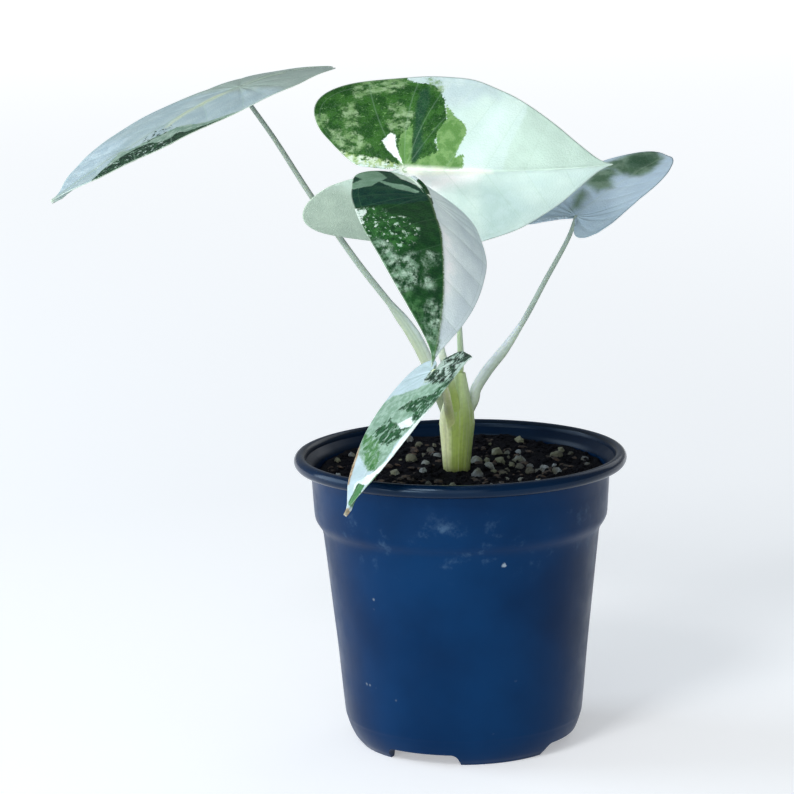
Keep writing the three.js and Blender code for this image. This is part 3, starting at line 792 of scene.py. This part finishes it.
def blade_point(blade, u, v):
    """The smooth upper face at u along the midrib and v across it, in millimetres"""
    along, up, right = blade_frame(blade)
    length = blade["length"]
    t = u / length
    linear = np.radians(np.where(t > 0, blade["arch"][0], blade["lobe_arch"])) * t
    square = np.where(t > 0, math.radians(blade["arch"][1]) * t * t, 0)
    ahead, drop = bend_means(np.zeros_like(t), linear, square)
    bend = linear + square
    half = np.where(v > 0, 0, 1)
    reach = np.abs(v)
    curl = np.radians(np.array(blade["curl"], float))[half] * reach / length
    fold = np.radians(np.array(blade["fold"], float))[half]
    across, rise = bend_means(fold, curl, np.zeros_like(curl))
    return (
        np.array(blade["at"], float)
        + np.outer(u * ahead + reach * rise * np.sin(bend), along)
        + np.outer(-u * drop + reach * rise * np.cos(bend), up)
        + np.outer(v * across, right)
    )


def blade_edge(blade, side, s):
    """The margin of one half, from the cleft at s = 0 round the lobe to the tip at s = 1"""
    half = np.where(side > 0, 0, 1)
    points = smooth_path([*HALF_OUTLINE, *blade.get("tip", POINTED_TIP)], s)
    u = points[:, 0]
    v = points[:, 1] * np.array(blade["width"])[half]
    in_cleft = np.sin(math.pi * np.minimum(s / CLEFT_SHARE, 1)) ** 2
    v = np.where(u < 0, v - np.array(blade["spread"])[half] * u * np.minimum(1, -6 * u), v)
    v = np.where(u < 0, v + np.array(blade.get("cleft", (0, 0)))[half] * in_cleft, v)
    v = np.where(u < -0.02, np.maximum(v, 0.012 + 0.05 * np.minimum(-u, 0.3)), v)
    u = np.where(u < 0, u * np.array(blade["lobe"])[half], u)
    beak_side, beak_place, beak_back, beak_out = blade.get("beak", (1, 0, 0, 0))
    beak = np.exp(-(((s - beak_place) / BEAK_WIDTH) ** 2)) * (side == beak_side)
    u, v = u + beak_back * beak, v + beak_out * beak
    return u * blade["length"], side * np.maximum(v, 0) * blade["length"]


def vein_phase(t, w):
    """Whole numbers on the side veins; t along and w across, in blade lengths.
    Ahead of the stalk they leave the midrib at even steps, behind it they fan out."""
    lean = 0.48 * w + 0.3 * w * w
    behind = np.minimum(t - lean, 0) / np.maximum(np.hypot(t, w), 1e-4)
    return np.where(t > lean, (t - lean) / VEIN_STEP, 3 * behind)


def distance_to_shape(points, corners):
    """Distance of points from a closed outline, positive inside it"""
    ends = np.roll(corners, -1, axis=0)
    nearest = np.full(len(points), np.inf)
    inside = np.zeros(len(points), bool)
    for a, b in zip(corners, ends):
        edge = b - a
        share = np.clip(((points - a) @ edge) / max(edge @ edge, 1e-12), 0, 1)
        gap = np.linalg.norm(points - a - np.outer(share, edge), axis=1)
        nearest = np.minimum(nearest, gap)
        crosses = (a[1] > points[:, 1]) != (b[1] > points[:, 1])
        rise = b[1] - a[1] if abs(b[1] - a[1]) > 1e-12 else 1e-12
        inside ^= crosses & (points[:, 0] < a[0] + (points[:, 1] - a[1]) * edge[0] / rise)
    return np.where(inside, nearest, -nearest)


def give(mesh, name, values):
    kind, key = ("FLOAT_VECTOR", "vector") if values.ndim == 2 else ("FLOAT", "value")
    layer = mesh.attributes.new(name, kind, "POINT")
    layer.data.foreach_set(key, values.astype(np.float32).ravel())


def take(mesh, name, width):
    values = np.zeros(len(mesh.vertices) * width, np.float32)
    key = "vector" if width == 3 else "value"
    mesh.attributes[name].data.foreach_get(key, values)
    return values.reshape(-1, width)


def build_blade(name, blade):
    bpy.ops.object.select_all(action="DESELECT")
    bpy.ops.mesh.primitive_grid_add(x_subdivisions=2 * HALF_STEPS, y_subdivisions=RINGS, size=2)
    leaf = bpy.context.object
    leaf.name = name
    length = blade["length"]
    grid = np.array([v.co for v in leaf.data.vertices])
    side = np.where(grid[:, 0] >= 0, 1, -1)
    ring = (grid[:, 1] + 1) / 2
    edge_u, edge_v = blade_edge(blade, side, 1 - np.abs(grid[:, 0]))
    u, v = edge_u * ring, edge_v * ring
    t, w = u / length, np.abs(v) / length
    from_stalk = np.hypot(t, w)
    phase = vein_phase(t, w)
    step = 1e-3
    slope = np.hypot(vein_phase(t + step, w) - phase, vein_phase(t, w + step) - phase) / step
    pitch = length / np.maximum(slope, 0.5)
    margin = (1 - ring) * np.hypot(edge_u, edge_v)
    near_vein = np.abs(phase - np.round(phase)) * pitch
    fade = np.clip(margin / VEIN_FADE, 0, 1) * np.clip(from_stalk / 0.06, 0, 1)
    groove = np.exp(-((near_vein / GROOVE_WIDTH) ** 2)) * fade
    rib_width = RIB_WIDTH * (1.15 - np.clip(t, 0, 1))
    rib = np.exp(-((np.abs(v) / rib_width) ** 2)) * np.where(t > 0, 1, np.exp(t / 0.02))
    quilt = 0.5 - 0.5 * np.cos(2 * math.pi * phase)
    ripple = np.array(
        [noise.noise(Vector((a * 0.06, b * 0.06, blade["seed"]))) for a, b in zip(u, v)]
    )
    lift = (
        RIB_HEIGHT * rib - GROOVE_DEPTH * groove + blade["quilt"] * (quilt - 0.5) * fade
        + blade["ripple"] * ripple * np.clip(from_stalk / 0.2, 0, 1)
    )
    place = blade_point(blade, u, v)
    nudge = 0.3
    ahead = blade_point(blade, u + nudge, v) - place
    beside = blade_point(blade, u, v + nudge) - blade_point(blade, u, v - nudge)
    out = np.cross(beside, ahead)
    out /= np.linalg.norm(out, axis=1)[:, None]
    leaf.data.vertices.foreach_set("co", ((place + out * lift[:, None]) * MM).ravel())
    spots = np.stack([t, v / length], axis=1)
    give(leaf.data, "leaf_place", np.stack([u / 10, v / 10, np.zeros_like(u)], axis=1))
    give(leaf.data, "veins", np.stack([phase, pitch, v], axis=1))
    give(leaf.data, "margin", margin)
    give(leaf.data, "under_rib", UNDER_RIB_HEIGHT * rib + UNDER_VEIN_HEIGHT * groove)
    give(leaf.data, "out", out)
    for number, (shapes, *_) in enumerate(blade["sectors"]):
        fields = [distance_to_shape(spots, np.array(shape) / 100) for shape in shapes]
        give(leaf.data, f"sector_{number}", np.max(fields, axis=0) * length)
    body = leaf.vertex_groups.new(name="body")
    swell = (1 - MARGIN_SHARE) * np.clip(margin / MARGIN_WIDTH, 0, 1)
    share = np.round(10 * (MARGIN_SHARE + swell))
    for weight in range(3, 11):
        members = np.flatnonzero(share == weight)
        if len(members):
            body.add(members.tolist(), weight / 10, "REPLACE")
    bpy.ops.object.mode_set(mode="EDIT")
    bpy.ops.mesh.select_all(action="SELECT")
    bpy.ops.mesh.remove_doubles(threshold=1e-6)
    bpy.ops.object.mode_set(mode="OBJECT")
    outs = take(leaf.data, "out", 3)
    facing = sum(Vector(outs[f.vertices[0]]).dot(f.normal) * f.area for f in leaf.data.polygons)
    if facing < 0:
        leaf.data.flip_normals()
    upper_count = len(leaf.data.vertices)
    wall = leaf.modifiers.new("wall", "SOLIDIFY")
    wall.thickness = BLADE_THICKNESS * MM
    wall.offset = -1
    wall.vertex_group = "body"
    wall.material_offset = 1
    wall.material_offset_rim = 0
    bpy.ops.object.modifier_apply(modifier=wall.name)
    mesh = leaf.data
    below = (np.arange(len(mesh.vertices)) >= upper_count).astype(np.float32)[:, None]
    places = np.zeros(len(mesh.vertices) * 3, np.float32)
    mesh.vertices.foreach_get("co", places)
    bulge = take(mesh, "out", 3) * take(mesh, "under_rib", 1) * below * MM
    mesh.vertices.foreach_set("co", (places.reshape(-1, 3) - bulge).ravel())
    bpy.ops.object.shade_smooth()
    mesh.update()
    return leaf


def blade_material(name, blade, underside):
    """Pale tissue with ragged sectors, some of them painted light and shade, painted shade on its
    folds and vein panels, and fine veins, midrib and rim in their own colours
    """
    look = {**COMMON_LOOK, **blade["look"]}
    material, tree, shader = new_material(name)

    def attribute(name, output="Fac"):
        return add_node(tree, "ShaderNodeAttribute", attribute_name=name).outputs[output]

    spot = attribute("leaf_place", "Vector")
    veins = add_node(tree, "ShaderNodeSeparateXYZ", {"Vector": attribute("veins", "Vector")})
    broad = noise_value(tree, spot, 1.1, 2)
    ragged = noise_value(tree, spot, 3.1, 4, 0.6)
    fine = noise_value(tree, spot, 13, 4, 0.65)
    colour = blend_colour(tree, ramp(tree, broad, 0.3, 0.7), look["pale"], look["shade"])
    # Painted shade: soft streaks of a greyer tone stand in for the shading of gentle folds
    painted_fold_shade = noise_value(tree, stretched(tree, spot, look["streak"]), 1.0, 3, 0.55)
    painted_fold_shade = ramp(tree, painted_fold_shade, 0.35, 0.7, 0.0, look["streaks"])
    colour = blend_colour(tree, painted_fold_shade, colour, look["streak_colour"])
    # Painted shade: each panel between side veins is greyer at one vein and fades towards the next
    painted_panel_shade = ramp(tree, calculate(tree, "FRACT", veins.outputs["X"]), 0, 1, look["panels"], 0)
    colour = blend_colour(tree, painted_panel_shade, colour, look["streak_colour"])
    for number, (_, tones, mottle, wander, fray, soft, islands) in enumerate(blade["sectors"]):
        value = attribute(f"sector_{number}")
        for texture, amount in ((ragged, wander), (fine, fray)):
            value = calculate(tree, "ADD", value, swing(tree, texture, 2 * amount))
        reach = soft * (UNDER_SOFTNESS if underside else 1)
        share = ramp(tree, value, -reach, reach)
        if islands:
            broken = noise_value(tree, stretched(tree, spot, (1, 1.25, 1)), islands[0], 6, 0.7)
            share = times(tree, share, ramp(tree, broken, *islands[1:]))
        blotch = ramp(tree, noise_value(tree, spot, mottle, 5, 0.6), 0.42, 0.6)
        tissue = blend_colour(tree, blotch, srgb(*tones[0]), srgb(*tones[1]))
        colour = blend_colour(tree, share, colour, tissue)

    def distance(value, line):
        return calculate(tree, "ABSOLUTE", calculate(tree, "SUBTRACT", value, line))

    phase = veins.outputs["X"]
    from_vein = times(tree, distance(phase, calculate(tree, "ROUND", phase)), veins.outputs["Y"])
    margin = attribute("margin")
    net = add_node(
        tree, "ShaderNodeTexVoronoi", {"Vector": spot, "Scale": 9.0}, feature="DISTANCE_TO_EDGE"
    ).outputs["Distance"]
    lines = [
        (from_vein, look["vein_width"], 0.1, look["vein_strength"], look["vein"]),
        (distance(veins.outputs["Z"], 0.0), 0.6, 0.2, look["rib_strength"], look["rib"]),
        (distance(margin, MARGIN_VEIN), 0.22, 0.06, look["vein_strength"], look["vein"]),
        (margin, 0.5, 0.1, look["rim_strength"], look["rim"]),
    ]
    for value, gone, full, strength, line_colour in lines:
        colour = blend_colour(tree, ramp(tree, value, gone, full, 0, strength), colour, line_colour)
    # The underside's blue-grey is partly its own tone and partly painted shade of the face that
    # looks down
    if underside:
        colour = blend_colour(tree, look["under_share"], colour, look["under"])
    colour = blend_colour(tree, ramp(tree, net, 0.07, 0, 0, 0.08), colour, look["vein"])
    grain = calculate(tree, "ADD", ramp(tree, net, 0.0, 0.16), times(tree, fine, 0.6))
    fill_inputs(tree, shader, {
        "Base Color": colour, "Specular IOR Level": 0.12,
        "Roughness": ramp(tree, fine, 0.3, 0.7, look["gloss"], look["gloss"] + 0.12),
        "Subsurface Weight": 0.25, "Subsurface Radius": (1.0, 1.0, 1.0),
        "Subsurface Scale": 0.0009, "Normal": relief(tree, grain, 0.0001, 0.5),
    })
    return material


# The colours that the blades share, then each blade: its place, its bends and its sectors,
# each with outlines in hundredths of the blade's length, two tones, the scale of their mottle,
# how far the edge wanders, frays and fades, and the noise that breaks it into islands.
# Angles are in degrees. Width, lobe, spread, cleft, fold and curl are for the right half and
# the left one, seen from the stalk, and arch has a linear and a square term.
COMMON_LOOK = {
    "pale": srgb(218, 240, 235), "shade": srgb(206, 231, 227), "streak": (0.5, 3.0, 1.0),
    "streaks": 0.2, "streak_colour": srgb(186, 212, 212), "panels": 0.15,
    "vein": srgb(158, 190, 168), "vein_strength": 0.2, "vein_width": 0.35,
    "rib": srgb(178, 200, 176), "rib_strength": 0.5, "rim": srgb(190, 208, 190),
    "rim_strength": 0.6, "under": srgb(168, 190, 198), "under_share": 0.35, "gloss": 0.45,
}
FRONT_PATCH = [
    (6, 40), (9, 23), (16, 20), (19, 13), (28, 9), (38, 11), (44, 19), (36, 28), (31, 40),
]
BLADES = {
    "left": {
        "at": [-73.4, 8, 228.5], "heading": 214, "pitch": -16, "roll": 16, "length": 82.5,
        "width": [0.98, 0.78], "lobe": [1.19, 0.77], "spread": [-0.12, -0.11],
        "arch": [20, -9], "lobe_arch": 40, "fold": [11, -10], "curl": [-23, -10],
        "seed": 2.0, "quilt": 0.12, "ripple": 0.5,
        "sectors": [
            ([[(50, 36), (48, 14), (66, 4), (98, 0), (90, 20)]],
             ((182, 202, 210), (166, 188, 198)), 2.4, 3, 1, 3.0, None),
            ([[(74, -6), (63, 0), (60, -3), (53, -6), (40, -12), (37, -25), (33, -31),
               (20, -40), (40, -45), (70, -25)]],
             ((112, 140, 124), (150, 172, 158)), 3.0, 1.5, 1.0, 0.3, None),
            ([[(86, -10), (78, -6), (70, -7.5), (60, -6), (54.5, -11), (54, -19), (50, -21),
               (45, -20), (45, -27), (36, -33), (25, -40), (45, -45), (90, -25)]],
             ((14, 42, 28), (34, 68, 44)), 3.4, 1.2, 1.2, 0.2, None),
            ([[(84, -6), (60, -4), (50, -14), (56, -30), (86, -20)]],
             ((150, 178, 160), (186, 206, 198)), 4.0, 1.0, 1.0, 0.3, (5, 0.57, 0.6)),
            ([[(54, -3), (46, 0), (38, -5), (42, -12), (54, -10)]],
             ((18, 44, 32), (34, 60, 44)), 4.0, 0.6, 0.6, 0.2, (5, 0.54, 0.56)),
            ([[(-2, -1), (10, 3.5), (25, 2), (40, -3), (40, -4), (25, -1), (10, -2)]],
             ((196, 206, 172), (186, 200, 176)), 3.0, 0.5, 0.3, 2.2, None),
            # Painted shade over the lobe end, where the blade lies in shadow
            ([[(12, 60), (2, 10), (6, 0), (0, -30), (10, -60), (-80, -60), (-80, 60)]],
             ((150, 168, 160), (158, 174, 166)), 1.5, 2.0, 0.3, 4.0, None),
        ],
        # Painted shade: this blade's white is given a darker, greyer pale and shade for the dimmer
        # light on it
        "look": {
            "pale": srgb(174, 192, 194), "shade": srgb(158, 178, 182), "streaks": 0.5,
            "streak_colour": srgb(148, 172, 182), "rib": srgb(150, 172, 146),
        },
    },
    "middle": {
        "at": [-17.4, -24, 203.2], "heading": -18, "pitch": 0, "roll": 93, "length": 71,
        "width": [1, 1.07], "lobe": [1.12, 0.98], "spread": [0.03, 0.02], "cleft": [0, -0.05],
        "arch": [8, 36], "lobe_arch": -22, "fold": [-25, -30], "curl": [-32, -48],
        "seed": 5.0, "quilt": 0.16, "ripple": 0.7,
        "sectors": [
            # Painted shadow on the lower lobe, under the front blade
            ([[(-70, 4), (-30, 5), (-12, 20), (-15, 60), (-70, 60)]],
             ((152, 170, 157), (162, 180, 166)), 1.5, 3, 0.5, 8.0, None),
            # Painted shade along the upper margin
            ([[(-12, -60), (-12, -50), (8, -44), (17, -34), (27, -35), (36, -42), (44, -38),
               (40, -60)]],
             ((186, 206, 208), (196, 214, 214)), 1.5, 0.6, 0.4, 3.0, None),
            # Painted light on the lit side of a soft crease
            ([[(28, -2), (30, -12), (40, -30), (46, -36), (52, -28), (43, -12), (40, -2)]],
             ((208, 230, 224), (204, 226, 220)), 1.5, 1.0, 0.4, 3.2, None),
            ([[(47, 0), (50, -12), (58, -28), (64, -45), (90, -30), (100, 0)]],
             ((189, 213, 202), (194, 218, 207)), 1.5, 1.0, 0.3, 0.7, None),
            ([[(10, 6), (34, 5), (40, 20), (30, 50), (-5, 50), (-2, 20)]],
             ((204, 226, 218), (212, 232, 224)), 1.5, 2, 0.4, 5.0, None),
            # Painted light: white that brightens the shaded blade just below the midrib near the
            # stalk
            ([[(-2, 0), (36, 0), (34, 5), (22, 9), (12, 13), (0, 10)]],
             ((255, 255, 252), (250, 255, 252)), 1.5, 0.8, 0.4, 3.5, None),
            # Painted soft shadow on the lower half
            ([[(36, 8), (50, 11), (60, 24), (50, 34), (34, 45)]],
             ((190, 216, 210), (198, 222, 218)), 1.5, 2, 0.4, 3.5, None),
            ([[(0, -0.5), (-4, -2), (-11, -3.5), (-24, -5), (-60, -5), (-70, -35), (-50, -60),
               (-10, -62), (-7, -51), (-2, -48.5), (4, -48.5), (10, -45), (14, -38), (17, -26),
               (14, -20), (13, -15), (16, -8), (11, -5), (7, -2)]],
             ((28, 72, 24), (50, 98, 36)), 2.4, 1.0, 1.2, 0.2, None),
            ([[(15, -36), (22, -28), (27, -24), (28, -20), (25, -12), (24, -7), (28, -8),
               (28, -1), (18, 0), (0, 0), (5, -5), (15, -9), (13, -20), (17, -27)],
              [(-4, -3), (3, -1), (2, -12), (0, -24), (-5, -18)]],
             ((92, 138, 72), (120, 160, 98)), 2.8, 1.0, 1.3, 0.2, None),
            ([[(-31, -50), (-17, -53), (-5, -50), (-12, -42), (-20, -42), (-28, -38)],
              [(-12, -37), (-5, -34), (0, -30), (-3, -20), (-8, -18), (-12, -24)],
              [(-35, -34), (-28, -36), (-25, -23), (-31, -22)],
              [(-38, -20), (-28, -21), (-18, -12), (-26, -8), (-35, -13)],
              [(0, -53), (10, -50), (12, -42), (5, -46)],
              [(-46, -28), (-40, -30), (-40, -22), (-45, -20)]],
             ((110, 146, 94), (144, 172, 132)), 3.2, 1.5, 2.0, 0.8, (3.2, 0.4, 0.58)),
            ([[(-50, -20), (-50, -50), (12, -45), (16, -20), (-5, -10)]],
             ((96, 138, 78), (110, 150, 96)), 3.2, 1.0, 1.5, 0.5, (5.5, 0.58, 0.64)),
            ([[(0, -43), (4, -47), (6.5, -36), (4.5, -23), (7.5, -12), (4.5, -3), (2.5, -5),
               (1.5, -20), (0, -33)]],
             ((28, 68, 44), (38, 82, 50)), 3.0, 0.6, 0.8, 0.9, None),
            ([[(-13, -15), (-10, -19), (-7, -18), (-6, -12), (-1.5, -3), (-6, -6.5),
               (-10, -10)]],
             ((226, 242, 236), (238, 250, 246)), 2.0, 0.4, 0.8, 0.2, None),
            ([[(-42, -13), (-24, -7), (-10, -5), (0, -1), (-4, -0.5), (-25, -2), (-50, -6)]],
             ((150, 178, 116), (206, 222, 204)), 3.0, 0.6, 1.2, 0.5, (4, 0.42, 0.5)),
            # A pale strip along the midrib, partly its own tint and partly a painted glow near the
            # stalk
            ([[(-2, -2), (5, -1.8), (42, 0), (42, 1.2), (5, 3), (-2, 1)]],
             ((250, 254, 238), (244, 252, 240)), 2.0, 0.3, 0.2, 1.2, None),
        ],
        "look": {
            "pale": srgb(208, 229, 222), "shade": srgb(200, 222, 214),
            "rib": srgb(196, 220, 200), "rib_strength": 0.25, "vein_strength": 0.14,
        },
    },
    "front": {
        "at": [-10.2, -55.2, 198.6], "heading": -78, "pitch": -18, "roll": -26, "length": 77,
        "width": [0.66, 0.56], "lobe": [0.83, 0.84], "spread": [-0.08, -0.13],
        "arch": [34, 16], "lobe_arch": 50, "fold": [-18, -9], "curl": [-56, -12],
        "seed": 9.0, "quilt": 0.14, "ripple": 0.5,
        "sectors": [
            # Painted light: a white band beside the midrib, where the blade's ridge faces the light
            ([[(-20, -13), (-10, 0), (80, 0), (70, -6), (40, -12), (10, -13)]],
             ((230, 242, 242), (224, 236, 238)), 2.0, 1.0, 0.4, 4.0, None),
            # Painted light: the brightest strip beside the midrib, lightened against its shading
            ([[(20, 0), (68, 0), (66, -2), (45, -6), (30, -5), (22, -3)]],
             ((252, 255, 255), (244, 253, 252)), 2.0, 0.8, 0.4, 2.4, None),
            ([[(-60, 0), (0, -0.4), (50, 0), (105, 0), (90, 30), (40, 50), (-60, 50)],
              [(-30, 2), (-26, -1), (-16, -4), (5, -1.4), (9, 0)]],
             ((16, 54, 28), (26, 70, 32)), 2.6, 0.5, 0.6, 0.15, None),
            ([[(-60, 50), (-39, 6), (-33, 5), (-10, 2), (4, 0), (7.5, 11), (7, 20), (6, 50)]],
             ((12, 52, 44), (24, 66, 48)), 2.2, 0.4, 0.5, 0.4, None),
            ([[(-33, 25), (-42, 18), (-38, 12), (-23, 12), (-18, 17), (-13, 22), (-12, 30),
               (-19, 30), (-24, 23)],
              [(-20, 17), (-14, 12), (-11, 8), (-4, 3), (-2, 5), (-7, 12), (-14, 16)]],
             ((114, 150, 126), (132, 166, 144)), 2.6, 0.6, 1.2, 0.2, None),
            ([[(-50, 2), (-36, 7), (-20, 6.5), (-5, 0.4), (-20, 0)]],
             ((216, 232, 220), (196, 216, 200)), 3.0, 0.6, 0.8, 0.3, None),
            ([FRONT_PATCH],
             ((32, 84, 36), (54, 108, 52)), 3.2, 2.5, 1.0, 1.5, (3, 0.4, 0.55)),
            ([FRONT_PATCH],
             ((166, 198, 178), (214, 232, 220)), 4.0, 2.5, 1.0, 1.5, (3.8, 0.56, 0.61)),
            ([[(6, 40), (8.5, 28), (13, 29), (17, 32), (22, 30), (20, 40)]],
             ((206, 226, 216), (226, 240, 234)), 4.0, 0.8, 1.2, 0.2, (5, 0.42, 0.46)),
            ([[(34, 40), (35, 26), (39, 22), (47, 19), (44, 10), (50, 8), (58, 9), (68, 14),
               (66, 20), (55, 28), (45, 40)],
              [(59, 10), (58, 4), (65, 4), (65, 8)],
              [(70, 5), (73, 0), (86, -1), (87, 3), (79, 8)],
              [(44, 6), (44, 2), (49, 2), (50, 5)],
              [(86, 5), (88, 0), (96, 0), (96, 3)]],
             ((120, 156, 130), (172, 198, 180)), 3.0, 2.0, 1.6, 1.6, (2.6, 0.4, 0.62)),
            ([[(66, 20), (67, 11), (78, 7), (84, 7), (76, 16)],
              [(86, 6), (88, -1), (100, -1), (100, 3)]],
             ((46, 92, 52), (70, 114, 70)), 3.0, 0.8, 1.0, 0.8, (3.2, 0.4, 0.6)),
        ],
        # Painted light: this blade's white is given a lighter pale and shade for its half that
        # turns from the light
        "look": {
            "pale": srgb(222, 235, 236), "shade": srgb(210, 224, 227), "streaks": 0.4,
            "streak_colour": srgb(192, 206, 214), "panels": 0.45, "vein": srgb(96, 136, 104),
            "vein_strength": 0.18, "vein_width": 0.3, "rib": srgb(96, 122, 84),
            "rib_strength": 0.4, "rim_strength": 0.4,
        },
    },
    "low": {
        "at": [-8.8, -26.1, 135.1], "heading": -126, "pitch": -30, "roll": 24, "length": 67.7,
        "width": [0.62, 0.51], "lobe": [0.33, 0.26], "spread": [0.05, -0.13],
        "beak": (-1, 0.46, 0.02, 0.052),
        "arch": [11, -1], "lobe_arch": 11, "fold": [0, 0], "curl": [-11, -7],
        "seed": 13.0, "quilt": 0.1, "ripple": 0.4,
        "sectors": [
            ([[(10, 26), (13, 2), (5, -30), (33, -27), (46, -18), (56, -12), (73, -10), (72, 0),
               (52, 22), (40, 40), (20, 40)]],
             ((118, 150, 130), (150, 178, 162)), 3.4, 1.2, 1.2, 0.5, None),
            ([[(-30, 0), (0, 5), (10, 0), (14, -30), (-20, -30)]],
             ((178, 196, 188), (140, 164, 152)), 4.0, 1.2, 1.2, 0.4, None),
            ([[(-9, -1), (-14, -7), (-5, -30), (3, -22), (10, -23), (20, -30), (12, -8), (6, 3),
               (-2, 4), (1, -7)]],
             ((6, 24, 18), (22, 54, 34)), 4.2, 1.2, 2.2, 0.2, (3.0, 0.47, 0.49)),
            ([[(26, 9), (22, 0), (22, -15), (15, -22), (18, -30), (33, -26), (42, -19),
               (42, -12), (34, -10), (30, 0)],
              [(36, 17), (31, 12), (39, 0), (43, -14), (52, -13), (56, -5), (51, 8), (41, 18)]],
             ((14, 56, 30), (36, 86, 48)), 4.0, 1.6, 2.6, 0.2, (3.2, 0.45, 0.47)),
            ([[(36, 30), (47, 10), (60, -2), (74, -8), (70, 2), (50, 20)]],
             ((56, 108, 56), (90, 134, 86)), 3.6, 1.4, 2.4, 0.3, (3.4, 0.43, 0.49)),
            ([[(39, 0), (37, -10), (45, -17), (45, -7)],
              [(34, -24), (46, -17), (56, -13), (68, -12), (74, -6), (78, 6), (84, 3), (82, -8),
               (66, -25), (40, -35)]],
             ((214, 228, 228), (230, 240, 240)), 2.0, 1.0, 1.4, 0.3, None),
            ([[(79, 3), (82, -5), (90, -4), (95, -1), (92, 2), (85, 2)],
              [(75, -13), (76, -10), (92, -2.5), (92, -4), (86, -10)]],
             ((42, 98, 50), (72, 124, 78)), 3.6, 0.5, 0.8, 0.2, None),
            ([[(-16, -26), (-2, -26.5), (2, -24), (-3, -22.5), (-10, -19)]],
             ((10, 26, 20), (30, 52, 40)), 4.2, 0.4, 0.6, 0.2, None),
            ([[(42, 30), (48, 23.5), (55, 20.5), (63, 17.2), (70, 14), (78, 10.5), (80, 20),
               (60, 30)],
              [(96.5, 5), (95.5, -5), (105, -5), (105, 5)]],
             ((176, 152, 122), (132, 100, 68)), 4.0, 0.5, 0.5, 0.35, None),
        ],
        # Painted shade: this low blade's white is given a darker pale and shade for the shade it
        # hangs in
        "look": {
            "pale": srgb(184, 202, 212), "shade": srgb(168, 188, 196), "rib_strength": 0.15,
            "vein_strength": 0.15, "rim_strength": 0.25,
        },
    },
    "right": {
        "at": [42, 20.1, 180.3], "heading": 42, "pitch": 27, "roll": -23, "length": 51.3,
        "width": [0.98, 1.07], "lobe": [0.61, 0.64], "spread": [0.24, 0.22], "cleft": [0, 0.09],
        "arch": [16, -4], "lobe_arch": -26, "fold": [-24, 46], "curl": [44, -90],
        "seed": 17.0, "quilt": 0.1, "ripple": 0.3,
        "tip": [[0.83, 0.15], [0.88, 0.095], [0.905, 0.045], [0.91, 0]],
        "sectors": [
            ([[(50, -30), (62, -26), (76, -22), (92, -12), (86, 2), (67, 10), (58, 7),
               (53, -8)],
              [(30, -20), (46, -26), (58, -18), (52, -7), (45, -8), (38, 0), (28, -5)],
              [(26, -17), (21, -8), (7, -4), (3, -7), (17, -15)]],
             ((82, 112, 88), (118, 144, 124)), 1.6, 1.5, 0.4, 2.4, None),
            ([[(63, -4), (73, 4), (87, -7), (76, -18), (64, -14)]],
             ((56, 88, 66), (70, 100, 80)), 2.0, 1.0, 0.4, 2.0, None),
        ],
        # Painted shade: this blade's white is given a darker, bluer pale and shade for its
        # underside seen in shadow
        "look": {
            "pale": srgb(198, 218, 230), "shade": srgb(186, 206, 219), "streaks": 0.3,
            "streak_colour": srgb(176, 198, 222), "vein_strength": 0.05, "rib_strength": 0.12,
            "rim": srgb(84, 116, 122), "rim_strength": 0.7, "under_share": 0.3,
        },
    },
}
for name, blade in BLADES.items():
    leaf = build_blade(f"blade_{name}", blade)
    leaf.data.materials.clear()
    leaf.data.materials.append(blade_material(f"blade_{name}_upper", blade, False))
    leaf.data.materials.append(blade_material(f"blade_{name}_under", blade, True))
    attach(leaf, "root")
    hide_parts(f"leaf_{name}")
